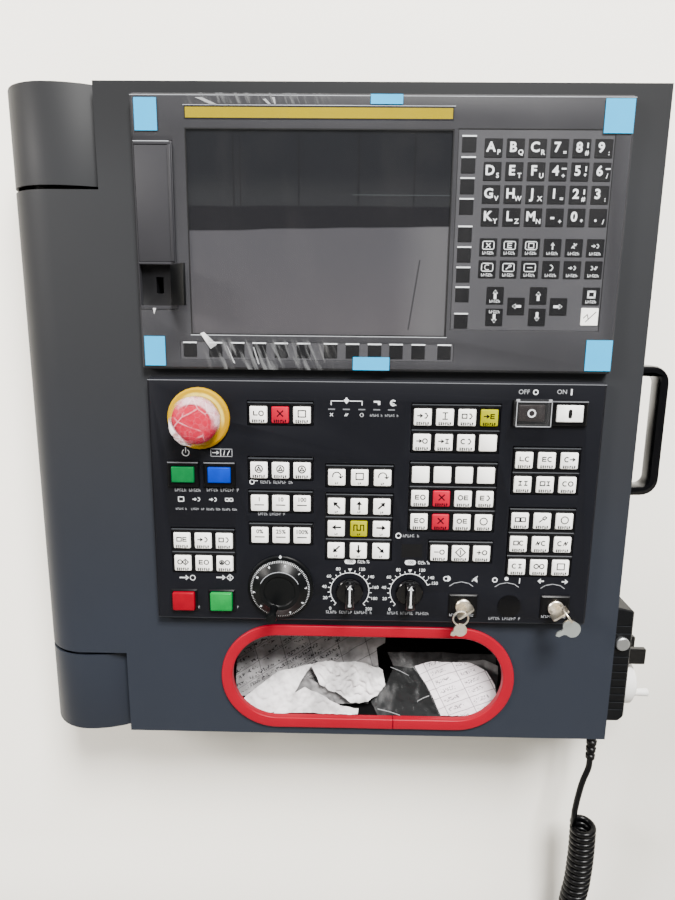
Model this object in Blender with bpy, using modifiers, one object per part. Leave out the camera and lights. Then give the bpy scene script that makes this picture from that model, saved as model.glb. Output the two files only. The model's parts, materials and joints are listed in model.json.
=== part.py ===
"""Swing-out operator station of a turning lathe, modelled in metres with +Z up.

The origin is on the flat back of the hinge bracket, level with the middle of the panel.
X runs along the closed panel, Y points into the machine, and the operator looks along +Y.
"""

from math import asin, atan2, cos, pi, radians, sin, sqrt

import bmesh
import bpy
from mathutils import Matrix, Vector

# Clearances and the run of a cutter past what it cuts
GAP = 0.0003
OVERRUN = 0.003
SINK = 0.001

# Front units: left, right, bottom, top
DISPLAY = (0.074, 0.474, 0.063, 0.281)
OPERATOR = (0.077, 0.472, -0.1685, 0.0555)

# Panel shell, which holds the units with a rim round them
ROLL_R = 0.043
SETBACK = 0.067
SHEET = 0.002
RIGHT_RIM = 0.031
TOP_RIM = 0.011
PANEL_RIGHT = DISPLAY[1] + RIGHT_RIM
PANEL_HALF = DISPLAY[3] + TOP_RIM
RETURN_DEPTH = 0.008
NOTCH_GAP = 0.0015
CAP_LENGTH = 0.079
CAP_GAP = 0.0035
CAP_IN = PANEL_HALF - CAP_LENGTH
ROLL_HALF = CAP_IN - CAP_GAP
FRONT = -(SETBACK + ROLL_R)
BACK = -(SETBACK - ROLL_R)

# Welded frame behind the front sheet
FRAME_SIDE_INSET = 0.013
FRAME_INSET = 0.004
FRAME_NOTCH_GAP = 0.014
FRAME_RIGHT = PANEL_RIGHT - FRAME_SIDE_INSET
FRAME_HALF = PANEL_HALF - FRAME_INSET
END_PLATE = 0.010
FRAME_FRONT = FRONT + SHEET + GAP
FRAME_BACK = BACK - SHEET - GAP

# Hinge bracket, pins and bushes
PLATE_T = 0.008
LUG_R = 0.028
LUG_RIM = 0.0155
HINGE_GAP = 0.004
PIN_R = 0.008
PIN_HEAD_R = 0.011
PIN_HEAD_T = 0.004
PIN_REACH = 0.016
BUSH_WALL = 0.0027
FLANGE_R = 0.015
BOLT_R = 0.0075
BOLT_T = 0.0065
BOLT_SHARES = (-0.6, -0.25, 0.25, 0.6)

# Hinge covers
CAP_RIGHT = 0.0405
CAP_ARC_R = 0.085
CAP_EDGE = 0.0012
NOTCH_X = CAP_RIGHT + NOTCH_GAP
FRAME_NOTCH_X = NOTCH_X + FRAME_NOTCH_GAP

# Front units on the panel
PROUD = 0.009
UNIT_REST = 0.010
UNIT_FACE = FRONT - PROUD
UNIT_BACK = FRONT - GAP
UNIT_CHAMFER = 0.002
DISPLAY_DEPTH = 0.055
OPERATOR_DEPTH = 0.040
CARRIER_T = 0.002

# Screen, keypads and bays of the display unit: left, right, bottom, top
SCREEN = (0.1177, 0.332, 0.093, 0.2545)
SCREEN_SINK = 0.0015
SCREEN_T = 0.003
KEYPAD = (0.3358, 0.4598, 0.0985, 0.2555)
SOFT_SPAN = 0.216
SOFT_LEFT = 0.1157
SOFT_RIM_LEFT = 0.0082
SOFT_RIM_RIGHT = 0.0078
SOFTKEYS = (SOFT_LEFT - SOFT_RIM_LEFT, SOFT_LEFT + SOFT_SPAN + SOFT_RIM_RIGHT, 0.0715, 0.0865)
PAD_SINK = 0.002
PAD_T = 0.003
SOFT_SHARES = (0.0, 0.101, 0.188, 0.274, 0.360, 0.448, 0.554, 0.640, 0.727, 0.811, 0.898, 1.0)
SOFT_Z = 0.0793
SOFT_KEY = 0.0115
SIDE_INSET = 0.0087
SIDE_X = KEYPAD[0] + SIDE_INSET
SIDE_RIM_TOP = 0.0118
SIDE_RIM_BOTTOM = 0.007
SIDE_TOP = KEYPAD[3] - SIDE_RIM_TOP
SIDE_SPAN = SIDE_TOP - SIDE_RIM_BOTTOM - KEYPAD[2]
SIDE_SHARES = (0.0, 0.114, 0.228, 0.342, 0.496, 0.613, 0.729, 0.844, 1.0)
MDI_INSET = 0.0282
MDI_RIM = 0.0012
MDI_X = KEYPAD[0] + MDI_INSET
MDI_TOP = 0.2414
MDI_KEY = 0.0145
MDI_COLUMNS = 6
MDI_PITCH = (KEYPAD[1] - MDI_RIM - MDI_KEY / 2 - MDI_X) / (MDI_COLUMNS - 1)
MDI_ROW_STEPS = (0.0, 1.0, 2.0, 3.0, 4.345, 5.341)
CURSOR_X = 0.3897
CURSOR_Z = 0.1184
CURSOR_STEPS = (
    (-1.02, 0.49), (-1.01, -0.52), (0.0, 0.0), (1.025, 0.5), (1.025, -0.5), (2.015, 0.0),
    (3.53, 0.5), (3.53, -0.46),
)
BAY_LEFT = 0.0755
BAY_RIGHT = 0.1045
USB_BAY = (0.116, 0.1495)
CARD_BAY = (0.1515, 0.2425)
USB_DEPTH = 0.0068
CARD_DEPTH = 0.0035
SLOT_X = 0.0905
USB_SLOT = (0.006, 0.0135)
CARD_SLOT = (0.0054, 0.055)
USB_SLOT_DEPTH = 0.014
CARD_SLOT_DEPTH = 0.030
PORTS_RIGHT = 0.1068
PORTS_Z = (0.1125, 0.2455)
CAGE_WALL = 0.0022
LEAF_T = 0.002
LEAF_RIM = 0.0004
BARREL_R = 0.001
BARREL_X = 0.105
BARREL_ARM = 0.001
USB_DOOR_ANGLE = radians(125)

# Film over the display unit
FILM_T = 0.0003
FILM_EDGE = 0.0005
FILM_CUT = (0.107, 0.113, 0.244)

# Key blocks of the operator unit
KEY_W = 0.016
KEY_H = 0.0155
KEY_TAPER_SHARE = 0.9
KEY_PROUD = 0.0022
FRAME_PROUD = 0.0006
FRAME_SIDE = 0.0017
FRAME_TOP = 0.0042
FRAME_FOOT = 0.0014
WINDOW_GAP = 0.0004
CARRIER_RIM = 0.001

# Key pitch of each block, then left key, top row and row pitch of its runs
KEY_BLOCKS = {
    "spindle_keys": (0.0189, [(0.1733, 0.0245, 0.0215)]),
    "feed_keys": (0.0190, [(0.1731, -0.0249, 0.0215), (0.1731, -0.0550, 0.0215), (0.1731, -0.0850, 0.0215)]),
    "jog_keys": (0.0202, [(0.2418, -0.0305, 0.0208), (0.2418, -0.0569, 0.0208)]),
    "mode_keys": (0.0191, [(0.3156, 0.0242, 0.0222), (0.3156, -0.0270, 0.0216), (0.3347, -0.0995, 0.0216)]),
    "auxiliary_keys": (0.0196, [(0.4053, -0.0128, 0.0218), (0.4053, -0.0679, 0.0219)]),
    "memory_keys": (0.0191, [(0.1025, -0.0913, 0.0216)]),
}

# Columns and rows of the same runs
KEY_COUNTS = {
    "spindle_keys": [(3, 1)],
    "feed_keys": [(3, 1), (3, 1), (3, 1)],
    "jog_keys": [(3, 1), (3, 3)],
    "mode_keys": [(4, 2), (4, 3), (3, 1)],
    "auxiliary_keys": [(3, 2), (3, 3)],
    "memory_keys": [(3, 2)],
}

# Push buttons: centre x and z, lens width and height, housing width and height, housing and lens proud
LENS_BACK = 0.0045
LENS_EDGE = 0.0008
HOUSING_EDGE = 0.0012
BUTTONS = {
    "ready_button": (0.1063, -0.0291, 0.0200, 0.0140, 0.0277, 0.0228, 0.0040, 0.0060),
    "release_button": (0.1384, -0.0291, 0.0200, 0.0140, 0.0277, 0.0228, 0.0040, 0.0060),
    "cycle_stop_button": (0.1023, -0.1493, 0.0200, 0.0173, 0.0245, 0.0215, 0.0015, 0.0050),
    "cycle_start_button": (0.1369, -0.1492, 0.0200, 0.0173, 0.0245, 0.0215, 0.0015, 0.0050),
    "off_button": (0.4079, 0.0292, 0.0225, 0.0145, 0.0310, 0.0217, 0.0040, 0.0050),
    "on_button": (0.4405, 0.0292, 0.0225, 0.0145, 0.0310, 0.0217, 0.0040, 0.0055),
}
GUARD_W = 0.0300
GUARD_H = 0.0215
GUARD_DEEP = 0.0075
GUARD_WALL = 0.0012
GUARD_BARREL_R = 0.0014

# Emergency stop
STOP_X = 0.1215
STOP_Z = 0.0208
COLLAR_R = 0.027
COLLAR_T = 0.005
STOP_STEM_R = 0.011
STOP_SPIGOT_R = 0.005
STOP_SPIGOT = 0.008
STOP_HEAD_R = 0.020
STOP_HEAD_T = 0.015
STOP_LIFT = 0.0110
STOP_STEM_BACK = 0.0045

# Handwheel of the operator unit
WHEEL_X = 0.1915
WHEEL_Z = -0.1345
WHEEL_BASE_R = 0.0300
WHEEL_BASE_T = 0.0025
WHEEL_SHAFT_R = 0.005
WHEEL_DIAL_R = 0.0272
WHEEL_RIM_T = 0.0030
WHEEL_SLOPE_R = 0.0200
WHEEL_SLOPE_T = 0.0050
WHEEL_HUB_R = 0.0190
WHEEL_HUB_T = 0.0100
WHEEL_DISH_R = 0.0135
WHEEL_DISH = 0.0010
CRANK_RADIUS = 0.0165
CRANK_ANGLE = radians(-108)
CRANK_PIN_R = 0.002
CRANK_PIN = 0.005
CRANK_FOOT_R = 0.0036
CRANK_WAIST_R = 0.0029
CRANK_TIP_R = 0.0048
CRANK_LENGTH = 0.0220

# Override knobs
KNOB_Z = -0.1378
KNOB_XS = {"feed_knob": 0.2547, "spindle_knob": 0.3093}
KNOB_SHAFT_R = 0.003
KNOB_SKIRT_R = 0.0125
KNOB_SKIRT_T = 0.004
KNOB_BAR_W = 0.0085
KNOB_BAR_H = 0.0240
KNOB_BAR_T = 0.0150
KNOB_EDGE = 0.0012

# Key switches with their keys and rings
LOCK_RISE = 0.0188
LOCK_Z = OPERATOR[2] + LOCK_RISE
LOCK_W = 0.0260
LOCK_H = 0.0220
LOCK_PROUD = 0.0025
LOCK_SHAFT_R = 0.0055
LOCK_FACE_R = 0.0072
LOCK_FACE_T = 0.0030
LOCK_XS = {"left_key": 0.3585, "right_key": 0.4425}
SETTING_X = 0.4010
SETTING_R = 0.0105
SETTING_PROUD = 0.0015
BOW_T = 0.0018
BOW_W = 0.0165
BOW_NECK_W = 0.0080
BOW_LENGTH = 0.0150
BOW_NECK = 0.0030
BOW_EDGE = 0.0030
BOW_HOLE_R = 0.0014
BOW_HOLE_IN = 0.0040
BOW_ANGLE = radians(36)
RING_R = 0.0068
RING_WIRE_R = 0.0008
RING_HANG = radians(50)
RING_SINK = 0.0003
SPARE_BLADE_W = 0.0044
SPARE_T = 0.0018
# Hole along the bow, whether the ring faces the operator, and the spare key's bow, blade and lean
RINGS = {
    "left_key": (0.0010, True, 0.0060, 0.0040, radians(60)),
    "right_key": (0.0045, False, 0.0085, 0.0060, radians(63)),
}

# Document pocket: the opening, its trim and the bin behind it
POCKET_X = 0.27275
POCKET_Z = -0.2302
POCKET_STRAIGHT = 0.0860
POCKET_R = 0.0430
TRIM_W = 0.0108
TRIM_PROUD = 0.003
TRIM_WALL = 0.0015
TRIM_EDGE = 0.0012
BIN_RIM = 0.007
BIN_BOTTOM_RIM = 0.008
BIN_WALL = 0.0015
BIN_BACK = -0.034
PAPER_FRONT = -0.082
PAPER_BACK = -0.046
PAPER_INSET = 0.00225
PAPER_SHORT = 0.008
PAPER_LEFT = POCKET_X - POCKET_STRAIGHT - POCKET_R + PAPER_INSET
PAPER_WIDTH = 2 * (POCKET_STRAIGHT + POCKET_R) - PAPER_SHORT
PAPER_HEIGHT = 0.088
PAPER_SHARES = (
    (0.0, 0.0), (1.0, 0.0), (1.0, 0.55), (0.96, 0.80), (0.78, 0.86), (0.60, 0.78), (0.565, 0.40),
    (0.53, 0.55), (0.47, 0.95), (0.33, 0.90), (0.22, 0.98), (0.05, 0.78), (0.0, 0.30),
)

# Side handle
HANDLE_OUT = 0.054
HANDLE_TOP = 0.067
HANDLE_BOTTOM = -0.056
HANDLE_W = 0.009
HANDLE_FRONT = -0.075
HANDLE_BACK = -0.054
HANDLE_OUTER_R = 0.016
HANDLE_INNER_R = 0.008
HANDLE_EDGE = 0.003

# Hand pendant and its hanger
PENDANT_LEFT = 0.497
PENDANT_RIGHT = 0.534
PENDANT_BOTTOM = -0.291
PENDANT_TOP = -0.163
PENDANT_SLOPE = 0.008
PENDANT_FRONT = -0.082
PENDANT_BACK = -0.022
PENDANT_CHAMFER = 0.005
PENDANT_EDGE = 0.0015
RIB_COUNT = 12
RIB_TOP = -0.186
RIB_PITCH = 0.0083
RIB_W = 0.0012
RIB_DEEP = 0.0010
HANGER_T = 0.0044
HANGER_BOTTOM = -0.250
HANGER_TOP = -0.134
HANGER_HOOK = 0.0165
HANGER_HOOK_Z = -0.1605
HANGER_INSET = 0.008
FACE_SHAFT = 0.006
FACE_SHAFT_R = 0.003
PENDANT_KNOB_Z = -0.2270
PENDANT_KNOB_R = 0.0085
PENDANT_KNOB_SKIRT = 0.003
PENDANT_KNOB_T = 0.0220
PENDANT_BAR_W = 0.0060
PENDANT_KNOB_YS = {"pendant_axis_knob": -0.0650, "pendant_scale_knob": -0.0390}
PENDANT_DIAL_Y = -0.052
PENDANT_DIAL_Z = -0.2620
PENDANT_DIAL_R = 0.0230
PENDANT_DIAL_T = 0.0120
PENDANT_DIAL_HUB_R = 0.0190
PENDANT_DIAL_HUB_T = 0.0155
PENDANT_CRANK_RADIUS = 0.0140
PENDANT_CRANK_T = 0.0200
PENDANT_CRANK_R = 0.0035
PENDANT_CRANK_TIP_R = 0.0042
ENABLE_X = 0.524
ENABLE_Z = -0.2045
ENABLE_R = 0.0068
ENABLE_PROUD = 0.004
ENABLE_SINK = 0.0045
ENABLE_TRAVEL = 0.002
ENABLE_EDGE = 0.0008

# Strain relief, curly cord and connector
GLAND_X = 0.517
GLAND_Y = -0.052
GLAND_R = 0.0064
GLAND_TIP_R = 0.0048
GLAND_LENGTH = 0.064
GLAND_RINGS = 7
GLAND_GROOVE = 0.0012
CORD_R = 0.00325
CORD_SIDE_RES = 2
CORD_STEP = 0.007
LEAD_ROUTE = (
    (0.5170, -0.052, -0.3560), (0.5162, -0.052, -0.3690), (0.5117, -0.052, -0.3847),
    (0.5083, -0.052, -0.4040), (0.5062, -0.052, -0.4220), (0.5058, -0.052, -0.4357),
)
COIL_R = 0.0142
COIL_STEP = 0.016
COIL_ROUTE = (
    (0.5167, -0.052, -0.4360), (0.5176, -0.052, -0.4740), (0.5161, -0.052, -0.5140),
    (0.5127, -0.052, -0.5410), (0.5100, -0.052, -0.5900), (0.5092, -0.052, -0.6400),
    (0.5092, -0.052, -0.6830),
)
PLUG_R = 0.0110
PLUG_GRIP_R = 0.0095
PLUG_NECK_R = 0.0070
PLUG_NECK = 0.0120
PLUG_GRIP = 0.0200
PLUG_NUT = 0.0180

SEGMENTS = 32
SMALL_SEGMENTS = 20
ARC_STEPS = 10
SMOOTH_ANGLE = radians(32)
MERGE = 0.00001

# Colour, roughness and metallic value of each finish
FINISHES = {
    "cover_paint": ((0.075, 0.082, 0.095), 0.55, 0.0),
    "steel": ((0.42, 0.43, 0.44), 0.4, 1.0),
    "bronze": ((0.50, 0.33, 0.15), 0.4, 1.0),
    "bezel_plastic": ((0.035, 0.037, 0.041), 0.4, 0.0),
    "screen_glass": ((0.02, 0.022, 0.026), 0.08, 0.0),
    "key_black": ((0.012, 0.012, 0.013), 0.4, 0.0),
    "key_white": ((0.80, 0.79, 0.76), 0.45, 0.0),
    "clear_film": ((0.8, 0.84, 0.86), 0.05, 0.0),
    "operator_navy": ((0.018, 0.021, 0.033), 0.5, 0.0),
    "yellow": ((0.90, 0.52, 0.01), 0.35, 0.0),
    "red": ((0.68, 0.03, 0.05), 0.35, 0.0),
    "green": ((0.01, 0.42, 0.14), 0.25, 0.0),
    "blue": ((0.01, 0.14, 0.60), 0.25, 0.0),
    "lens_dark": ((0.05, 0.05, 0.05), 0.2, 0.0),
    "lens_white": ((0.85, 0.85, 0.85), 0.2, 0.0),
    "clear_plastic": ((0.75, 0.77, 0.78), 0.1, 0.0),
    "nickel": ((0.72, 0.70, 0.66), 0.28, 1.0),
    "trim_rubber": ((0.62, 0.012, 0.025), 0.45, 0.0),
    "paper": ((0.82, 0.82, 0.80), 0.8, 0.0),
    "gloss_black": ((0.008, 0.008, 0.008), 0.15, 0.0),
    "pendant_plastic": ((0.015, 0.016, 0.018), 0.55, 0.0),
    "cord_black": ((0.006, 0.006, 0.006), 0.4, 0.0),
}


def clear_scene():
    for old in list(bpy.data.objects):
        bpy.data.objects.remove(old, do_unlink=True)


def new_collection(name):
    group = bpy.data.collections.new(name)
    bpy.context.scene.collection.children.link(group)
    return group


def finish(name):
    """The Principled material of one finish, made once."""
    found = bpy.data.materials.get(name)
    if found:
        return found
    colour, roughness, metallic = FINISHES[name]
    made = bpy.data.materials.new(name)
    made.use_nodes = True
    shader = made.node_tree.nodes["Principled BSDF"]
    shader.inputs["Base Color"].default_value = (*colour, 1.0)
    shader.inputs["Roughness"].default_value = roughness
    shader.inputs["Metallic"].default_value = metallic
    return made


def evaluated_mesh(obj):
    """The mesh of an object with its modifiers, which takes the object out of the file."""
    bpy.context.scene.collection.objects.link(obj)
    shown = obj.evaluated_get(bpy.context.evaluated_depsgraph_get())
    mesh = bpy.data.meshes.new_from_object(shown)
    bpy.data.objects.remove(obj)
    return mesh


def append_mesh(bm, mesh, matrix):
    """Adds a closed mesh to bm, welded, placed, and with its faces pointing out."""
    part = bmesh.new()
    part.from_mesh(mesh)
    bmesh.ops.remove_doubles(part, verts=part.verts, dist=MERGE)
    part.transform(matrix)
    bmesh.ops.recalc_face_normals(part, faces=part.faces)
    if part.calc_volume(signed=True) < 0:
        bmesh.ops.reverse_faces(part, faces=part.faces)
    joined = bpy.data.meshes.new("shape")
    part.to_mesh(joined)
    part.free()
    bm.from_mesh(joined)


def box(lo, hi):
    """A block between two corners."""

    def add(bm):
        size = Vector(hi) - Vector(lo)
        middle = (Vector(hi) + Vector(lo)) / 2
        place = Matrix.Translation(middle) @ Matrix.Diagonal((*size, 1.0))
        bmesh.ops.create_cube(bm, size=1.0, matrix=place)

    return add


def cylinder(radius, start, end, segments=SMALL_SEGMENTS, end_radius=None):
    """A cylinder, or a cone when end_radius is given."""

    def add(bm):
        a, b = Vector(start), Vector(end)
        turn = (b - a).to_track_quat("Z", "Y").to_matrix().to_4x4()
        place = Matrix.Translation((a + b) / 2) @ turn
        last = radius if end_radius is None else end_radius
        bmesh.ops.create_cone(
            bm, cap_ends=True, segments=segments, radius1=radius, radius2=last,
            depth=(b - a).length, matrix=place,
        )

    return add


def prism(outline, lo, hi, along="Y", holes=()):
    """A flat outline in the plane across an axis, extruded along that axis from lo to hi."""
    columns = {"X": ((0, 0, 1), (1, 0, 0), (0, 1, 0)), "Y": ((1, 0, 0), (0, 0, 1), (0, 1, 0)),
               "Z": ((1, 0, 0), (0, 1, 0), (0, 0, 1))}

    def add(bm):
        curve = bpy.data.curves.new("outline", "CURVE")
        curve.dimensions = "2D"
        curve.fill_mode = "BOTH"
        curve.extrude = (hi - lo) / 2
        for loop in (outline, *holes):
            spline = curve.splines.new("POLY")
            spline.points.add(len(loop) - 1)
            spline.use_cyclic_u = True
            for point, (a, b) in zip(spline.points, loop):
                point.co = (a, b, 0, 1)
        mesh = evaluated_mesh(bpy.data.objects.new("outline", curve))
        shift = Matrix.Translation((0, 0, (lo + hi) / 2))
        append_mesh(bm, mesh, Matrix(columns[along]).to_4x4() @ shift)

    return add


def turned(profile, centre, towards, segments=SEGMENTS, closed=False):
    """A profile of radius and height, top to bottom, turned round an axis by a Screw modifier."""

    def add(bm):
        mesh = bpy.data.meshes.new("profile")
        points = [(radius, 0, height) for radius, height in profile]
        edges = [(i, i + 1) for i in range(len(points) - 1)]
        if closed:
            edges.append((len(points) - 1, 0))
        mesh.from_pydata(points, edges, [])
        lathe = bpy.data.objects.new("profile", mesh)
        screw = lathe.modifiers.new("turn", "SCREW")
        screw.steps = screw.render_steps = segments
        screw.use_merge_vertices = True
        screw.merge_threshold = MERGE
        turn = Vector(towards).to_track_quat("Z", "Y").to_matrix().to_4x4()
        append_mesh(bm, evaluated_mesh(lathe), Matrix.Translation(centre) @ turn)

    return add


def rounded(shape, width, keep=None, segments=2):
    """A shape with the edges that keep() picks, or all its sharp edges, rounded off."""

    def add(bm):
        part = bmesh.new()
        shape(part)
        part.edges.ensure_lookup_table()
        sharp = [e for e in part.edges if len(e.link_faces) == 2 and e.calc_face_angle() > SMOOTH_ANGLE]
        chosen = [e for e in sharp if keep is None or keep(e.verts[0].co, e.verts[1].co)]
        bmesh.ops.bevel(
            part, geom=chosen, offset=width, segments=segments, profile=0.5, affect="EDGES",
            offset_type="OFFSET",
        )
        mesh = bpy.data.meshes.new("rounded")
        part.to_mesh(mesh)
        part.free()
        bm.from_mesh(mesh)

    return add


def moved(shape, matrix):
    """A shape after a turn or a shift."""

    def add(bm):
        part = bmesh.new()
        shape(part)
        part.transform(matrix)
        mesh = bpy.data.meshes.new("moved")
        part.to_mesh(mesh)
        part.free()
        bm.from_mesh(mesh)

    return add


def mesh_of(name, shapes):
    bm = bmesh.new()
    for shape in shapes:
        shape(bm)
    mesh = bpy.data.meshes.new(name)
    bm.to_mesh(mesh)
    bm.free()
    mesh.shade_smooth()
    mesh.set_sharp_from_angle(angle=SMOOTH_ANGLE)
    return mesh


def piece(name, look, shape, origin=(0, 0, 0)):
    """One named sub-part, with its object origin where it turns or slides."""
    mesh = mesh_of(name, [shape])
    mesh.transform(Matrix.Translation(-Vector(origin)))
    mesh.materials.append(finish(look))
    obj = bpy.data.objects.new(name, mesh)
    obj.location = origin
    PARTS.objects.link(obj)
    return obj


def combine(obj, operation, shapes):
    """Joins shapes to an object, cuts them out of it or keeps only what they cover, with one Boolean."""
    word = {"UNION": "joined", "DIFFERENCE": "cut", "INTERSECT": "kept"}[operation]
    tool = bpy.data.objects.new(f"{obj.name}_{word}", mesh_of("tool", shapes))
    tool.display_type = "WIRE"
    tool.hide_render = True
    TOOLS.objects.link(tool)
    step = obj.modifiers.new(word, "BOOLEAN")
    step.operation = operation
    step.solver = "EXACT"
    step.object = tool


def fuse(obj, *shapes):
    combine(obj, "UNION", shapes)


def cut(obj, *shapes):
    combine(obj, "DIFFERENCE", shapes)


def arc(cx, cy, radius, start, end, steps=ARC_STEPS):
    """Points along an arc, both ends included."""
    turn = (end - start) / steps
    return [(cx + radius * cos(start + turn * i), cy + radius * sin(start + turn * i)) for i in range(steps + 1)]


def stadium(cx, cy, straight, radius):
    """An outline with two half-circle ends, straight on each side of the centre."""
    return arc(cx + straight, cy, radius, -pi / 2, pi / 2) + arc(cx - straight, cy, radius, pi / 2, 3 * pi / 2)


def smooth_route(points, step):
    """Points a step apart along a Catmull-Rom curve through the given ones."""
    knots = [Vector(p) for p in points]
    knots = [2 * knots[0] - knots[1], *knots, 2 * knots[-1] - knots[-2]]
    line = []
    for a, b, c, d in zip(knots, knots[1:], knots[2:], knots[3:]):
        count = max(2, round((c - b).length / step))
        for i in range(count):
            t = i / count
            line.append(
                (2 * b + (c - a) * t + (2 * a - 5 * b + 4 * c - d) * t**2 + (3 * b - a - 3 * c + d) * t**3) / 2
            )
    return [*line, knots[-2]]


def tube(name, look, line, radius, side_res):
    """A plain cord along a line of points, with filled ends."""
    curve = bpy.data.curves.new(name, "CURVE")
    curve.dimensions = "3D"
    curve.bevel_depth = radius
    curve.bevel_resolution = side_res
    curve.use_fill_caps = True
    spline = curve.splines.new("POLY")
    spline.points.add(len(line) - 1)
    for point, place in zip(spline.points, line):
        point.co = (*place, 1)
    curve.materials.append(finish(look))
    obj = bpy.data.objects.new(name, curve)
    PARTS.objects.link(obj)
    return obj


def at_y(value):
    """Picks edges that lie in the plane Y = value."""
    return lambda a, b: abs(a.y - value) < MERGE and abs(b.y - value) < MERGE


def at_z(value):
    """Picks edges that lie in the plane Z = value."""
    return lambda a, b: abs(a.z - value) < MERGE and abs(b.z - value) < MERGE


def hinge_side(side):
    """Bracket lug, pin, bush and cover at one end of the hinge line, upper (+1) or lower (-1)."""
    word = "upper" if side > 0 else "lower"
    lug_in = ROLL_HALF + HINGE_GAP
    lug_out = PANEL_HALF - LUG_RIM
    axis = (0, -SETBACK, 0)
    along = (0, 0, side)
    tip = ROLL_HALF - PIN_REACH
    pin_profile = [
        (0, lug_out + GAP + PIN_HEAD_T), (PIN_HEAD_R, lug_out + GAP + PIN_HEAD_T),
        (PIN_HEAD_R, lug_out + GAP), (PIN_R, lug_out + GAP), (PIN_R, tip), (0, tip),
    ]
    piece(f"{word}_hinge_pin", "steel", turned(pin_profile, axis, along), (0, -SETBACK, side * lug_in))
    bore = PIN_R + GAP
    sleeve = bore + BUSH_WALL
    flange_out, flange_in = lug_in - GAP, ROLL_HALF + GAP
    bush_profile = [
        (bore, flange_out), (FLANGE_R, flange_out), (FLANGE_R, flange_in), (sleeve, flange_in),
        (sleeve, tip), (bore, tip),
    ]
    piece(f"{word}_bush", "bronze", turned(bush_profile, axis, along, closed=True))
    lo, hi = sorted((side * CAP_IN, side * PANEL_HALF))
    outer = rounded(prism(cap_outline(0), lo, hi, "Z"), CAP_EDGE, at_z(side * PANEL_HALF))
    cover = piece(f"{word}_hinge_cover", "cover_paint", outer)
    lo, hi = sorted((side * (CAP_IN - OVERRUN), side * (PANEL_HALF - SHEET)))
    cut(cover, prism(cap_outline(SHEET), lo, hi, "Z"))


def cap_outline(inset):
    """Plan of a hinge cover: round on the left, bowed in front, open towards the machine."""
    radius = ROLL_R - inset
    right = CAP_RIGHT - inset
    bow = CAP_ARC_R - inset
    back = OVERRUN if inset else -GAP
    bow_y = FRONT + CAP_ARC_R
    end = atan2(-sqrt(bow**2 - right**2), right)
    front = arc(0, bow_y, bow, -pi / 2, end, ARC_STEPS // 2)[1:]
    return [(-radius, back), *arc(0, -SETBACK, radius, -pi, -pi / 2), *front, (right, back)]


def make_hinge():
    left = -(ROLL_R - SHEET - GAP)
    right = CAP_RIGHT - SHEET - GAP
    half = PANEL_HALF - SHEET - GAP
    bracket = piece("hinge_bracket", "steel", box((left, -PLATE_T, -half), (right, 0, half)))
    lug_in = ROLL_HALF + HINGE_GAP
    lug_out = PANEL_HALF - LUG_RIM
    foot = -PLATE_T + SINK
    lug = [(-LUG_R, foot), *arc(0, -SETBACK, LUG_R, -pi, 0), (LUG_R, foot)]
    bolts = [
        cylinder(BOLT_R, (0, foot, share * PANEL_HALF), (0, -PLATE_T - BOLT_T, share * PANEL_HALF), 6)
        for share in BOLT_SHARES
    ]
    fuse(bracket, prism(lug, lug_in, lug_out, "Z"), prism(lug, -lug_out, -lug_in, "Z"), *bolts)
    bore = PIN_R + GAP
    ends = ((lug_in - OVERRUN, lug_out + OVERRUN), (-lug_out - OVERRUN, -lug_in + OVERRUN))
    cut(bracket, *(cylinder(bore, (0, -SETBACK, a), (0, -SETBACK, b), SEGMENTS) for a, b in ends))
    for side in (1, -1):
        hinge_side(side)


def frame_outline(inset):
    """Front view of the welded frame, stepped back round the hinge covers."""
    left = GAP + inset
    step = FRAME_NOTCH_X + inset
    right = FRAME_RIGHT - inset
    low = ROLL_HALF - SHEET - inset
    high = FRAME_HALF - inset
    return [
        (left, -low), (step, -low), (step, -high), (right, -high),
        (right, high), (step, high), (step, low), (left, low),
    ]


def pocket(offset):
    """Outline of the document pocket's opening, grown by an offset."""
    return stadium(POCKET_X, POCKET_Z, POCKET_STRAIGHT, POCKET_R + offset)


def unit_opening(unit):
    left, right, bottom, top = unit
    return box(
        (left + UNIT_REST, FRONT - OVERRUN, bottom + UNIT_REST),
        (right - UNIT_REST, FRONT + OVERRUN, top - UNIT_REST),
    )


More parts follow.
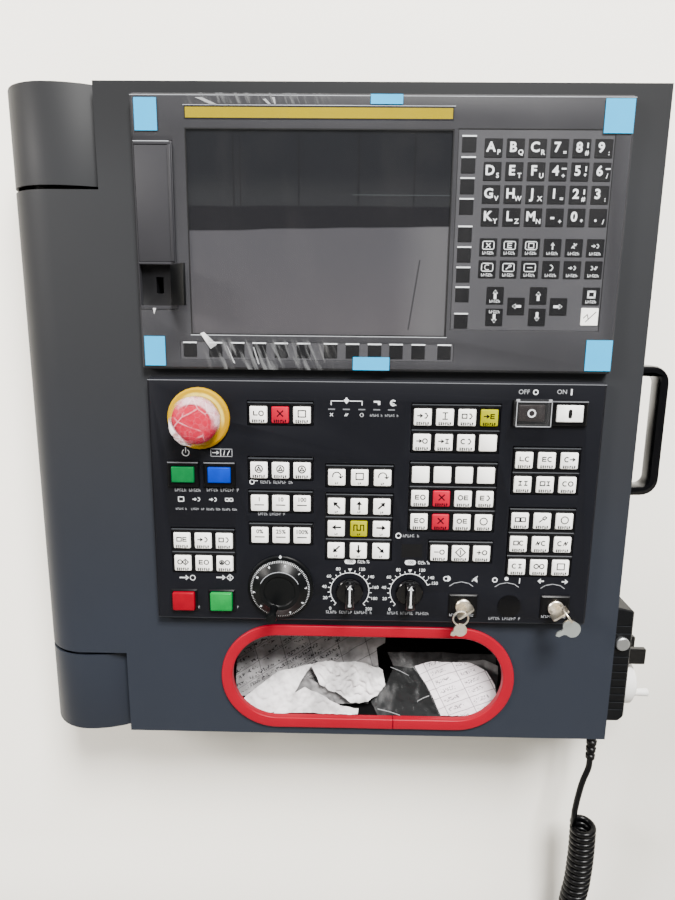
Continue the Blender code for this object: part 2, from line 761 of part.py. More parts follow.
def make_shell():
    inner = ROLL_R - SHEET
    sheet = [
        *arc(0, -SETBACK, ROLL_R, pi / 2, 3 * pi / 2, 2 * ARC_STEPS),
        (PANEL_RIGHT, FRONT), (PANEL_RIGHT, FRONT + RETURN_DEPTH), (PANEL_RIGHT - SHEET, FRONT + RETURN_DEPTH),
        (PANEL_RIGHT - SHEET, FRONT + SHEET), *arc(0, -SETBACK, inner, 3 * pi / 2, pi / 2, 2 * ARC_STEPS),
    ]
    cover = piece("front_cover", "cover_paint", prism(sheet, -PANEL_HALF, PANEL_HALF, "Z"))
    right = PANEL_RIGHT - SHEET / 2
    folds = [
        box((NOTCH_X + SHEET, FRONT + SHEET / 2, z - SHEET / 2 - side * SHEET / 2),
            (right, FRONT + RETURN_DEPTH - SINK, z + SHEET / 2 - side * SHEET / 2))
        for side, z in ((1, PANEL_HALF - SINK / 2), (-1, -PANEL_HALF + SINK / 2))
    ]
    fuse(cover, *folds)
    reach = ROLL_R + OVERRUN
    tall = PANEL_HALF + OVERRUN
    notches = [
        box((-reach, -SETBACK - reach, lo), (NOTCH_X, -SETBACK + reach, hi))
        for lo, hi in ((ROLL_HALF, tall), (-tall, -ROLL_HALF))
    ]
    hole = prism(pocket(TRIM_WALL + GAP), FRONT - OVERRUN, FRONT + OVERRUN)
    cut(cover, *notches, unit_opening(DISPLAY), unit_opening(OPERATOR), hole)

    frame = piece(
        "panel_frame", "cover_paint",
        prism(frame_outline(0), FRAME_FRONT, FRAME_BACK, "Y", holes=[frame_outline(SHEET)]),
    )
    end_r = inner - GAP
    lip = FRAME_NOTCH_X + SHEET / 2
    plan = [*arc(0, -SETBACK, end_r, pi / 2, 3 * pi / 2), (lip, -SETBACK - end_r), (lip, -SETBACK + end_r)]
    top = ROLL_HALF - GAP
    fuse(frame, prism(plan, top - END_PLATE, top, "Z"), prism(plan, -top, END_PLATE - top, "Z"))
    sleeve = PIN_R + BUSH_WALL + 2 * GAP
    low, high = ROLL_HALF - PIN_REACH - OVERRUN, ROLL_HALF + OVERRUN
    ends = ((low, high), (-high, -low))
    cut(frame, *(cylinder(sleeve, (0, -SETBACK, a), (0, -SETBACK, b), SEGMENTS) for a, b in ends))

    piece("rear_cover", "cover_paint", prism(frame_outline(0), BACK - SHEET, BACK))


def window(left, right, bottom, top, grow=0.0):
    """A cutter through the face of a front unit."""
    return box(
        (left - grow, UNIT_FACE - OVERRUN, bottom - grow), (right + grow, UNIT_BACK + OVERRUN, top + grow)
    )


def unit_body(name, look, unit):
    """The slab of a front unit with its front edges and corners chamfered."""
    left, right, bottom, top = unit
    slab = box((left, UNIT_FACE, bottom), (right, UNIT_BACK, top))

    def keep(a, b):
        corner = abs(a.x - b.x) < MERGE and abs(a.z - b.z) < MERGE
        return corner or at_y(UNIT_FACE)(a, b)

    return piece(name, look, rounded(slab, UNIT_CHAMFER, keep, 1))


def key(x, z, width, height, back, front, taper=KEY_TAPER_SHARE):
    """A key cap that narrows towards its face."""

    def add(bm):
        start = len(bm.verts)
        box((x - width / 2, front, z - height / 2), (x + width / 2, back, z + height / 2))(bm)
        bm.verts.ensure_lookup_table()
        for vert in bm.verts[start:]:
            if abs(vert.co.y - front) < MERGE:
                vert.co.x = x + (vert.co.x - x) * taper
                vert.co.z = z + (vert.co.z - z) * taper

    return add


def socket_box(bay, slot, front, back, grow=0.0):
    """A box of a socket's width and height, grown by a wall, in the middle of its bay."""
    middle = sum(bay) / 2
    wide, tall = (size / 2 + grow for size in slot)
    return box((SLOT_X - wide, front, middle - tall), (SLOT_X + wide, back, middle + tall))


def make_ports():
    """The moulding at the left edge of the display unit, with the USB socket and the card slot in it."""
    ports = unit_body("port_block", "bezel_plastic", DISPLAY)
    low, high = PORTS_Z
    keep = box(
        (DISPLAY[0] - OVERRUN, UNIT_FACE - OVERRUN, low + GAP), (PORTS_RIGHT - GAP, FRONT + OVERRUN, high - GAP)
    )
    combine(ports, "INTERSECT", [keep])
    sockets = ((USB_BAY, USB_SLOT, USB_DEPTH, USB_SLOT_DEPTH), (CARD_BAY, CARD_SLOT, CARD_DEPTH, CARD_SLOT_DEPTH))
    for bay, slot, bay_deep, slot_deep in sockets:
        back = UNIT_BACK + slot_deep
        fuse(ports, socket_box(bay, slot, UNIT_BACK - SINK, back + CAGE_WALL, CAGE_WALL))
        bay_low, bay_high = bay
        cut(ports, box((BAY_LEFT, UNIT_FACE - OVERRUN, bay_low), (BAY_RIGHT, UNIT_FACE + bay_deep, bay_high)))
        cut(ports, socket_box(bay, slot, UNIT_FACE + SINK, back))


def make_display():
    bezel = unit_body("display_bezel", "bezel_plastic", DISPLAY)
    low, high = PORTS_Z
    seat = box((DISPLAY[0] - OVERRUN, UNIT_FACE - OVERRUN, low), (PORTS_RIGHT, FRONT + OVERRUN, high))
    cut(bezel, window(*SCREEN), window(*KEYPAD), window(*SOFTKEYS), seat)
    make_ports()

    left, right, bottom, top = (v + s * GAP for v, s in zip(SCREEN, (1, -1, 1, -1)))
    face = UNIT_FACE + SCREEN_SINK
    piece("display_glass", "screen_glass", box((left, face, bottom), (right, face + SCREEN_T, top)))

    left, right, bottom, top = (v + s * (UNIT_REST + SINK) for v, s in zip(DISPLAY, (1, -1, 1, -1)))
    left = SLOT_X + USB_SLOT[0] / 2 + CAGE_WALL + GAP
    piece("display_chassis", "steel", box((left, FRONT + GAP, bottom), (right, FRONT + DISPLAY_DEPTH, top)))
    make_keypads()
    bay_door("card_door", CARD_BAY, 0)
    bay_door("usb_door", USB_BAY, USB_DOOR_ANGLE)

    left, right, bottom, top = (v + s * FILM_EDGE for v, s in zip(DISPLAY, (1, -1, 1, -1)))
    cut_x, cut_low, cut_high = FILM_CUT
    sheet = [
        (left, bottom), (right, bottom), (right, top), (left, top), (left, cut_high), (cut_x, cut_high),
        (cut_x, cut_low), (left, cut_low),
    ]
    piece("protective_film", "clear_film", prism(sheet, UNIT_FACE - GAP - FILM_T, UNIT_FACE - GAP))


def make_keypads():
    """The two key sheets of the display unit, with their keys moulded on and level with the bezel."""
    seat = UNIT_FACE + PAD_SINK
    root = seat + SINK
    for name, area in (("mdi_keypad", KEYPAD), ("softkey_bar", SOFTKEYS)):
        left, right, bottom, top = (v + s * GAP for v, s in zip(area, (1, -1, 1, -1)))
        pad = piece(name, "key_black", box((left, seat, bottom), (right, seat + PAD_T, top)))
        if name == "softkey_bar":
            places = [(SOFT_LEFT + share * SOFT_SPAN, SOFT_Z, SOFT_KEY) for share in SOFT_SHARES]
        else:
            places = [(SIDE_X, SIDE_TOP - share * SIDE_SPAN, SOFT_KEY) for share in SIDE_SHARES]
            places += [
                (MDI_X + column * MDI_PITCH, MDI_TOP - step * MDI_PITCH, MDI_KEY)
                for step in MDI_ROW_STEPS
                for column in range(MDI_COLUMNS)
            ]
            places += [
                (CURSOR_X + a * MDI_PITCH, CURSOR_Z + b * MDI_PITCH, MDI_KEY) for a, b in CURSOR_STEPS
            ]
        fuse(pad, *(key(x, z, side, side, root, UNIT_FACE) for x, z, side in places))


def bay_door(name, bay, angle):
    """A small door whose barrel stands at the right edge of its bay, turned open by an angle."""
    axis_y = UNIT_FACE - GAP - BARREL_R
    low, high = bay
    leaf_front = UNIT_FACE - axis_y + LEAF_RIM
    leaf_left = BAY_LEFT + GAP - BARREL_X
    leaf_right = BAY_RIGHT - GAP - BARREL_X
    arm = leaf_right - BARREL_ARM
    barrel_left = -sqrt(BARREL_R**2 - (BARREL_ARM / 2) ** 2)
    barrel = arc(0, 0, BARREL_R, atan2(BARREL_ARM / 2, -barrel_left), -pi + atan2(BARREL_ARM / 2, -barrel_left))
    outline = [
        (leaf_left, leaf_front), (arm, leaf_front), (arm, -BARREL_ARM / 2), *reversed(barrel),
        (leaf_right, BARREL_ARM / 2), (leaf_right, leaf_front + LEAF_T), (leaf_left, leaf_front + LEAF_T),
    ]
    door = piece(name, "bezel_plastic", prism(outline, low + GAP, high - GAP, "Z"))
    door.location = (BARREL_X, axis_y, 0)
    door.rotation_euler.z = angle
    return door


def key_runs(name):
    """The runs of a block: left key, top row, columns, rows, row pitch."""
    _, places = KEY_BLOCKS[name]
    return [(x, z, *count, row_pitch) for (x, z, row_pitch), count in zip(places, KEY_COUNTS[name])]


def run_box(pitch, run, back, front, grow=0.0):
    """The block that holds one run of keys and their lamp slots."""
    x, z, columns, rows, row_pitch = run
    return box(
        (x - KEY_W / 2 - FRAME_SIDE - grow, front, z - (rows - 1) * row_pitch - KEY_H / 2 - FRAME_FOOT - grow),
        (x + (columns - 1) * pitch + KEY_W / 2 + FRAME_SIDE + grow, back, z + KEY_H / 2 + FRAME_TOP + grow),
    )


def make_key_block(name, pitch, runs):
    """A carrier behind the plate whose key runs stand through the plate's windows."""
    carrier_front = FRONT
    left = min(run[0] for run in runs) - KEY_W / 2 - FRAME_SIDE - CARRIER_RIM
    right = max(run[0] + (run[2] - 1) * pitch for run in runs) + KEY_W / 2 + FRAME_SIDE + CARRIER_RIM
    top = max(run[1] for run in runs) + KEY_H / 2 + FRAME_TOP + CARRIER_RIM
    bottom = min(run[1] - (run[3] - 1) * run[4] for run in runs) - KEY_H / 2 - FRAME_FOOT - CARRIER_RIM
    block = piece(
        name, "key_white", box((left, carrier_front, bottom), (right, carrier_front + CARRIER_T, top))
    )
    frame_face = UNIT_FACE - FRAME_PROUD
    fuse(block, *(run_box(pitch, run, carrier_front + SINK, frame_face) for run in runs))
    caps = [
        key(x + column * pitch, z - row * row_pitch, KEY_W, KEY_H, frame_face + SINK, UNIT_FACE - KEY_PROUD)
        for x, z, columns, rows, row_pitch in runs
        for row in range(rows)
        for column in range(columns)
    ]
    fuse(block, *caps)


def housing(x, z, width, height, proud):
    """A raised frame on the operator plate."""
    block = box(
        (x - width / 2, UNIT_FACE - proud, z - height / 2), (x + width / 2, UNIT_FACE + SINK, z + height / 2)
    )
    return rounded(block, HOUSING_EDGE, at_y(UNIT_FACE - proud), 1)


def facing(x, z, y=0.0):
    """A point and the direction towards the operator, for turned pieces on the front."""
    return (x, y, z), (0, -1, 0)


def make_operator():
    plate = unit_body("operator_plate", "operator_navy", OPERATOR)
    raised = [housing(x, z, w, h, proud) for x, z, _, _, w, h, proud, _ in BUTTONS.values()]
    raised += [housing(x, LOCK_Z, LOCK_W, LOCK_H, LOCK_PROUD) for x in LOCK_XS.values()]
    setting = cylinder(
        SETTING_R, (SETTING_X, UNIT_FACE + SINK, LOCK_Z), (SETTING_X, UNIT_FACE - SETTING_PROUD, LOCK_Z)
    )
    fuse(plate, *raised, setting)
    deep = UNIT_BACK + OVERRUN
    windows = [
        run_box(pitch, run, deep, UNIT_FACE - OVERRUN, WINDOW_GAP)
        for name, (pitch, _) in KEY_BLOCKS.items()
        for run in key_runs(name)
    ]
    windows += [
        box((x - w / 2 - GAP, UNIT_FACE - proud - OVERRUN, z - h / 2 - GAP), (x + w / 2 + GAP, deep, z + h / 2 + GAP))
        for x, z, w, h, _, _, proud, _ in BUTTONS.values()
    ]
    ahead = UNIT_FACE - LOCK_PROUD - OVERRUN
    shafts = [(STOP_X, STOP_Z, STOP_STEM_R), (WHEEL_X, WHEEL_Z, WHEEL_SHAFT_R)]
    shafts += [(x, KNOB_Z, KNOB_SHAFT_R) for x in KNOB_XS.values()]
    shafts += [(x, LOCK_Z, LOCK_SHAFT_R) for x in LOCK_XS.values()]
    windows += [cylinder(radius + GAP, (x, ahead, z), (x, deep, z), SEGMENTS) for x, z, radius in shafts]
    cut(plate, *windows)

    left, right, bottom, top = (v + s * (UNIT_REST + SINK) for v, s in zip(OPERATOR, (1, -1, 1, -1)))
    front = FRONT + CARRIER_T + GAP
    piece("operator_chassis", "steel", box((left, front, bottom), (right, FRONT + OPERATOR_DEPTH, top)))
    for name, (pitch, _) in KEY_BLOCKS.items():
        make_key_block(name, pitch, key_runs(name))
    make_buttons()
    make_emergency_stop()
    make_handwheel()
    for name, x in KNOB_XS.items():
        override_knob(name, x)
    for name, x in LOCK_XS.items():
        lock_key(name, x)


def make_buttons():
    looks = {
        "ready_button": "green", "release_button": "blue", "cycle_stop_button": "red",
        "cycle_start_button": "green", "off_button": "lens_dark", "on_button": "lens_white",
    }
    for name, (x, z, w, h, _, _, _, proud) in BUTTONS.items():
        face = UNIT_FACE - proud
        lens = box((x - w / 2, face, z - h / 2), (x + w / 2, UNIT_FACE + LENS_BACK, z + h / 2))
        piece(name, looks[name], rounded(lens, LENS_EDGE, at_y(face)), (x, face, z))

    x, z, _, _, _, _, proud, _ = BUTTONS["off_button"]
    axis_y = UNIT_FACE - proud - GAP - GUARD_BARREL_R
    axis_z = z + GUARD_H / 2 + GUARD_BARREL_R
    back = UNIT_FACE - proud - GAP
    low, high = z - GUARD_H / 2, z + GUARD_H / 2
    shell = rounded(
        box((x - GUARD_W / 2, back - GUARD_DEEP, low), (x + GUARD_W / 2, back, high)), LENS_EDGE,
        at_y(back - GUARD_DEEP),
    )
    guard = piece("off_guard", "clear_plastic", shell, (x, axis_y, axis_z))
    half = GUARD_W / 2 - GUARD_WALL
    fuse(guard, cylinder(GUARD_BARREL_R, (x - half, axis_y, axis_z - SINK), (x + half, axis_y, axis_z - SINK), 12))
    cut(guard, box(
        (x - half, back - GUARD_DEEP + GUARD_WALL, low + GUARD_WALL), (x + half, back + OVERRUN, high - GUARD_WALL)
    ))


def make_emergency_stop():
    centre, towards = facing(STOP_X, STOP_Z)
    face = -UNIT_FACE
    bore = STOP_STEM_R + GAP
    edge = LENS_EDGE
    collar = [
        (bore, face + COLLAR_T), (COLLAR_R - 2 * edge, face + COLLAR_T), (COLLAR_R, face + COLLAR_T - 2 * edge),
        (COLLAR_R, face + GAP), (bore, face + GAP),
    ]
    piece("estop_collar", "yellow", turned(collar, centre, towards, closed=True), (STOP_X, UNIT_FACE, STOP_Z))
    under = face + STOP_LIFT
    stem = [
        (0, under + STOP_SPIGOT), (STOP_SPIGOT_R, under + STOP_SPIGOT), (STOP_SPIGOT_R, under - GAP),
        (STOP_STEM_R, under - GAP), (STOP_STEM_R, face - STOP_STEM_BACK), (0, face - STOP_STEM_BACK),
    ]
    piece("estop_plunger", "lens_dark", turned(stem, centre, towards), (STOP_X, UNIT_FACE, STOP_Z))
    spigot = STOP_SPIGOT_R + GAP
    top = under + STOP_HEAD_T
    dome_shares = ((0.0, 1.0), (0.35, 0.985), (0.62, 0.93), (0.82, 0.82), (0.95, 0.62), (1.0, 0.38), (0.985, 0.14))
    head = [(share * STOP_HEAD_R, under + rise * STOP_HEAD_T) for share, rise in dome_shares]
    head += [(STOP_HEAD_R * KEY_TAPER_SHARE, under), (spigot, under), (spigot, under + STOP_SPIGOT + GAP)]
    head.append((0, under + STOP_SPIGOT + GAP))
    head[0] = (0, top)
    piece("estop_head", "red", turned(head, centre, towards), (STOP_X, UNIT_FACE, STOP_Z))


def make_handwheel():
    centre, towards = facing(WHEEL_X, WHEEL_Z)
    face = -UNIT_FACE
    bore = WHEEL_SHAFT_R + GAP
    base_top = face + WHEEL_BASE_T
    base = [
        (bore, base_top), (WHEEL_BASE_R - LENS_EDGE, base_top), (WHEEL_BASE_R, base_top - LENS_EDGE),
        (WHEEL_BASE_R, face + GAP), (bore, face + GAP),
    ]
    piece("handwheel_base", "key_black", turned(base, centre, towards, closed=True))
    back = base_top + GAP
    rim = back + WHEEL_RIM_T
    slope = rim + WHEEL_SLOPE_T
    hub = back + WHEEL_HUB_T
    dial = [
        (0, hub - WHEEL_DISH), (WHEEL_DISH_R, hub - WHEEL_DISH), (WHEEL_DISH_R + WHEEL_DISH, hub),
        (WHEEL_HUB_R - WHEEL_DISH, hub), (WHEEL_HUB_R, hub - WHEEL_DISH), (WHEEL_SLOPE_R, slope),
        (WHEEL_DIAL_R, rim), (WHEEL_DIAL_R, back), (WHEEL_SHAFT_R, back), (WHEEL_SHAFT_R, face - STOP_STEM_BACK),
        (0, face - STOP_STEM_BACK),
    ]
    wheel = piece("handwheel_dial", "key_black", turned(dial, centre, towards, 40), (WHEEL_X, UNIT_FACE, WHEEL_Z))
    x = WHEEL_X + CRANK_RADIUS * cos(CRANK_ANGLE)
    z = WHEEL_Z + CRANK_RADIUS * sin(CRANK_ANGLE)
    cut(wheel, cylinder(CRANK_PIN_R + GAP, (x, -hub - OVERRUN, z), (x, -hub + CRANK_PIN + GAP, z)))
    foot = hub + GAP
    tip = foot + CRANK_LENGTH
    handle = [
        (0, tip), (CRANK_TIP_R * KEY_TAPER_SHARE, tip), (CRANK_TIP_R, tip - CRANK_TIP_R / 2),
        (CRANK_TIP_R, tip - CRANK_TIP_R), (CRANK_WAIST_R, foot + CRANK_LENGTH / 2), (CRANK_FOOT_R, foot),
        (CRANK_PIN_R, foot), (CRANK_PIN_R, hub - CRANK_PIN), (0, hub - CRANK_PIN),
    ]
    centre, towards = facing(x, z)
    piece("handwheel_crank", "gloss_black", turned(handle, centre, towards, SMALL_SEGMENTS), (x, -hub, z))


def override_knob(name, x):
    """A rotary knob with a round skirt and a raised bar that points to the scale."""
    centre, towards = facing(x, KNOB_Z)
    face = -UNIT_FACE
    foot = face + GAP
    skirt = [
        (0, foot + KNOB_SKIRT_T), (KNOB_SKIRT_R - KNOB_EDGE, foot + KNOB_SKIRT_T),
        (KNOB_SKIRT_R, foot + KNOB_SKIRT_T - KNOB_EDGE), (KNOB_SKIRT_R, foot), (KNOB_SHAFT_R, foot),
        (KNOB_SHAFT_R, face - STOP_STEM_BACK), (0, face - STOP_STEM_BACK),
    ]
    knob = piece(name, "gloss_black", turned(skirt, centre, towards), (x, UNIT_FACE, KNOB_Z))
    bar = box(
        (x - KNOB_BAR_W / 2, -foot - KNOB_BAR_T, KNOB_Z - KNOB_BAR_H / 2),
        (x + KNOB_BAR_W / 2, -foot - SINK, KNOB_Z + KNOB_BAR_H / 2),
    )
    fuse(knob, rounded(bar, KNOB_EDGE, None, 1))


def bow_frame(x):
    """Turns the bow of a key: local X along the key slot, local Y away from the operator."""
    return Matrix.Translation((x, 0, LOCK_Z)) @ Matrix.Rotation(-BOW_ANGLE, 4, "Y")


def bow_outline(face):
    """The flat bow of a key seen across its blade, narrow at the lock and wide outside."""
    wide, neck = BOW_W / 2, BOW_NECK_W / 2
    end = face - BOW_LENGTH
    flare = face - BOW_NECK
    corner = BOW_EDGE
    return [
        (-neck, face + SINK), (-neck, flare), *arc(-wide + corner, flare - corner, corner, pi / 2, pi, 4),
        *arc(-wide + corner, end + corner, corner, pi, 3 * pi / 2, 4),
        *arc(wide - corner, end + corner, corner, -pi / 2, 0, 4),
        *arc(wide - corner, flare - corner, corner, 0, pi / 2, 4), (neck, flare), (neck, face + SINK),
    ]


def lock_key(name, x):
    """A lock core with its key, and the ring and spare key that hang from the bow."""
    centre, towards = facing(x, LOCK_Z)
    base = -UNIT_FACE + LOCK_PROUD
    foot = base + GAP
    top = foot + LOCK_FACE_T
    core = [
        (0, top), (LOCK_FACE_R - LENS_EDGE, top), (LOCK_FACE_R, top - LENS_EDGE), (LOCK_FACE_R, foot),
        (LOCK_SHAFT_R, foot), (LOCK_SHAFT_R, -UNIT_FACE - STOP_STEM_BACK), (0, -UNIT_FACE - STOP_STEM_BACK),
    ]
    lock = piece(name, "nickel", turned(core, centre, towards), (x, UNIT_FACE, LOCK_Z))
    face = -top
    place = bow_frame(x)
    fuse(lock, moved(prism(bow_outline(face), -BOW_T / 2, BOW_T / 2, "Z"), place))
    hole_x, faces_operator, *spare = RINGS[name]
    hole_y = face - BOW_LENGTH + BOW_HOLE_IN
    drill = cylinder(BOW_HOLE_R, (hole_x, hole_y, -BOW_T), (hole_x, hole_y, BOW_T), 12)
    cut(lock, moved(drill, place))
    hole = place @ Vector((hole_x, hole_y, 0))
    reach = RING_R + BOW_HOLE_R - RING_WIRE_R + RING_SINK
    operator_way = Vector((0, -1, 0))
    if faces_operator:
        middle = hole - reach * Vector((cos(RING_HANG), 0, sin(RING_HANG)))
        hung = key_ring(middle, operator_way, *spare)
    else:
        along = Vector((cos(BOW_ANGLE), 0, sin(BOW_ANGLE)))
        hung = key_ring(hole + reach * operator_way, along, *spare)
    for shape in hung:
        fuse(lock, shape)


def key_ring(middle, axis, bow_r, blade, lean):
    """A wire ring, with a spare key at its lowest point."""
    wire = [(RING_R + RING_WIRE_R * cos(a), RING_WIRE_R * sin(a)) for a in (-i * pi / 4 for i in range(8))]
    ring = turned(wire, middle, axis, SMALL_SEGMENTS, closed=True)
    down = Vector((0, 0, -1))
    down = (down - axis * down.dot(axis)).normalized()
    low = middle + down * RING_R
    bow_z = low.z - bow_r + 2 * RING_WIRE_R
    half = SPARE_BLADE_W / 2
    start = -pi / 2 + asin(half / bow_r)
    outline = arc(0, 0, bow_r, start, 3 * pi / 2 - asin(half / bow_r), 2 * ARC_STEPS)
    outline += [(-half, -bow_r - blade + half), (0, -bow_r - blade), (half, -bow_r - blade + half)]
    turn = Matrix.Translation((low.x, low.y, bow_z)) @ Matrix.Rotation(lean, 4, "Y")
    return ring, moved(prism(outline, -SPARE_T / 2, SPARE_T / 2), turn)


def swept(profile, outline_at):
    """A closed profile of (offset, y) points carried round an outline that is grown by the offset."""

    def add(bm):
        part = bmesh.new()
        loops = [[part.verts.new((a, y, b)) for a, b in outline_at(offset)] for offset, y in profile]
        count = len(loops[0])
        for near, far in zip(loops, [*loops[1:], loops[0]]):
            for i in range(count):
                j = (i + 1) % count
                part.faces.new((near[i], near[j], far[j], far[i]))
        mesh = bpy.data.meshes.new("swept")
        part.to_mesh(mesh)
        part.free()
        append_mesh(bm, mesh, Matrix.Identity(4))

    return add


def make_pocket():
    face = FRONT - GAP - TRIM_PROUD
    back = FRONT + SHEET + GAP + TRIM_WALL
    edge = TRIM_EDGE
    inner_edge = [(edge - edge * sin(a), face + edge - edge * cos(a)) for a in (pi / 2, pi / 4, 0)]
    outer_edge = [(TRIM_W - edge + edge * sin(a), face + edge - edge * cos(a)) for a in (0, pi / 4, pi / 2)]
    section = [
        *inner_edge, *outer_edge, (TRIM_W, FRONT - GAP), (TRIM_WALL, FRONT - GAP),
        (TRIM_WALL, FRONT + SHEET + GAP), (TRIM_W, FRONT + SHEET + GAP), (TRIM_W, back), (0, back),
    ]
    piece("pocket_trim", "trim_rubber", swept(section, pocket))

    front = back + GAP
    left = POCKET_X - POCKET_STRAIGHT - POCKET_R - BIN_RIM
    right = POCKET_X + POCKET_STRAIGHT + POCKET_R + BIN_RIM
    bottom = POCKET_Z - POCKET_R - BIN_BOTTOM_RIM
    top = POCKET_Z + POCKET_R + BIN_RIM
    wall = BIN_WALL
    shell = piece(
        "pocket_bin", "cover_paint",
        box((left - wall, front, bottom - wall), (right + wall, BIN_BACK, top + wall)),
    )
    cut(shell, box((left, front - OVERRUN, bottom), (right, BIN_BACK - wall, top)))
    floor = bottom + GAP
    outline = [(PAPER_LEFT + a * PAPER_WIDTH, floor + b * PAPER_HEIGHT) for a, b in PAPER_SHARES]
    piece("documents", "paper", prism(outline, PAPER_FRONT, PAPER_BACK))


def make_handle():
    root = FRAME_RIGHT + GAP
    out = FRAME_RIGHT + HANDLE_OUT
    r, s, w = HANDLE_OUTER_R, HANDLE_INNER_R, HANDLE_W
    top, bottom = HANDLE_TOP, HANDLE_BOTTOM
    outline = [
        (root, bottom), *arc(out - r, bottom + r, r, -pi / 2, 0, 6), *arc(out - r, top - r, r, 0, pi / 2, 6),
        (root, top), (root, top - w), *arc(out - w - s, top - w - s, s, pi / 2, 0, 6),
        *arc(out - w - s, bottom + w + s, s, 0, -pi / 2, 6), (root, bottom + w),
    ]

    def keep(a, b):
        return max(a.x, b.x) > root + MERGE and abs(a.y - b.y) < MERGE

    grip = prism(outline, HANDLE_FRONT, HANDLE_BACK)
    piece("side_handle", "gloss_black", rounded(grip, HANDLE_EDGE, keep))


def make_pendant():
    root = FRAME_RIGHT + GAP
    out = root + HANGER_T
    hook = [
        (root, HANGER_BOTTOM), (out, HANGER_BOTTOM), (out, HANGER_HOOK_Z), (root + HANGER_HOOK, HANGER_HOOK_Z),
    ]
    rise = HANGER_TOP - HANGER_HOOK_Z
    hook += [(root + HANGER_HOOK * cos(a), HANGER_HOOK_Z + rise * sin(a))
             for a in (i * pi / 12 for i in range(1, 7))]
    piece(
        "pendant_hanger", "gloss_black",
        prism(hook, PENDANT_FRONT + HANGER_INSET, PENDANT_BACK - HANGER_INSET),
    )
    c = PENDANT_CHAMFER
    outline = [
        (PENDANT_LEFT, PENDANT_BOTTOM + c), (PENDANT_LEFT + c, PENDANT_BOTTOM),
        (PENDANT_RIGHT - c, PENDANT_BOTTOM), (PENDANT_RIGHT, PENDANT_BOTTOM + c),
        (PENDANT_RIGHT, PENDANT_TOP - PENDANT_SLOPE), (PENDANT_LEFT, PENDANT_TOP),
    ]
    case = prism(outline, PENDANT_FRONT, PENDANT_BACK)
    body = piece("pendant_body", "pendant_plastic", rounded(case, PENDANT_EDGE, None, 1))
    wide = (PENDANT_LEFT - OVERRUN, PENDANT_RIGHT + OVERRUN)
    grooves = []
    for i in range(RIB_COUNT):
        z = RIB_TOP - i * RIB_PITCH
        for near, far in (
            (PENDANT_FRONT - OVERRUN, PENDANT_FRONT + RIB_DEEP), (PENDANT_BACK - RIB_DEEP, PENDANT_BACK + OVERRUN)
        ):
            grooves.append(box((wide[0], near, z - RIB_W / 2), (wide[1], far, z + RIB_W / 2)))
    cut(body, *grooves)
    inside = PENDANT_RIGHT - FACE_SHAFT - GAP
    outside = PENDANT_RIGHT + OVERRUN
    seats = [(y, PENDANT_KNOB_Z) for y in PENDANT_KNOB_YS.values()] + [(PENDANT_DIAL_Y, PENDANT_DIAL_Z)]
    holes = [cylinder(FACE_SHAFT_R + GAP, (inside, y, z), (outside, y, z)) for y, z in seats]
    bottom = PENDANT_FRONT + ENABLE_SINK + ENABLE_TRAVEL + GAP
    holes.append(
        cylinder(ENABLE_R + GAP, (ENABLE_X, PENDANT_FRONT - OVERRUN, ENABLE_Z), (ENABLE_X, bottom, ENABLE_Z))
    )
    cut(body, *holes)

    top = ENABLE_PROUD - PENDANT_FRONT
    low = -PENDANT_FRONT - ENABLE_SINK
    button = [(0, top), (ENABLE_R - ENABLE_EDGE, top), (ENABLE_R, top - ENABLE_EDGE), (ENABLE_R, low), (0, low)]
    centre, towards = facing(ENABLE_X, ENABLE_Z)
    piece("pendant_enable_button", "nickel", turned(button, centre, towards, SMALL_SEGMENTS),
          (ENABLE_X, PENDANT_FRONT, ENABLE_Z))
    for name, y in PENDANT_KNOB_YS.items():
        pendant_knob(name, y)
    make_pendant_dial()


def pendant_knob(name, y):
    """A selector on the pendant's face: a skirt with a narrow bar across it."""
    foot = PENDANT_RIGHT + GAP
    skirt_top = foot + PENDANT_KNOB_SKIRT
    profile = [
        (0, skirt_top), (PENDANT_KNOB_R, skirt_top), (PENDANT_KNOB_R, foot), (FACE_SHAFT_R, foot),
        (FACE_SHAFT_R, PENDANT_RIGHT - FACE_SHAFT), (0, PENDANT_RIGHT - FACE_SHAFT),
    ]
    skirt = turned(profile, (0, y, PENDANT_KNOB_Z), (1, 0, 0), SMALL_SEGMENTS)
    knob = piece(name, "gloss_black", skirt, (PENDANT_RIGHT, y, PENDANT_KNOB_Z))
    half = PENDANT_BAR_W / 2
    bar = box(
        (foot + SINK, y - half, PENDANT_KNOB_Z - PENDANT_KNOB_R),
        (foot + PENDANT_KNOB_T, y + half, PENDANT_KNOB_Z + PENDANT_KNOB_R),
    )
    fuse(knob, rounded(bar, LENS_EDGE, None, 1))


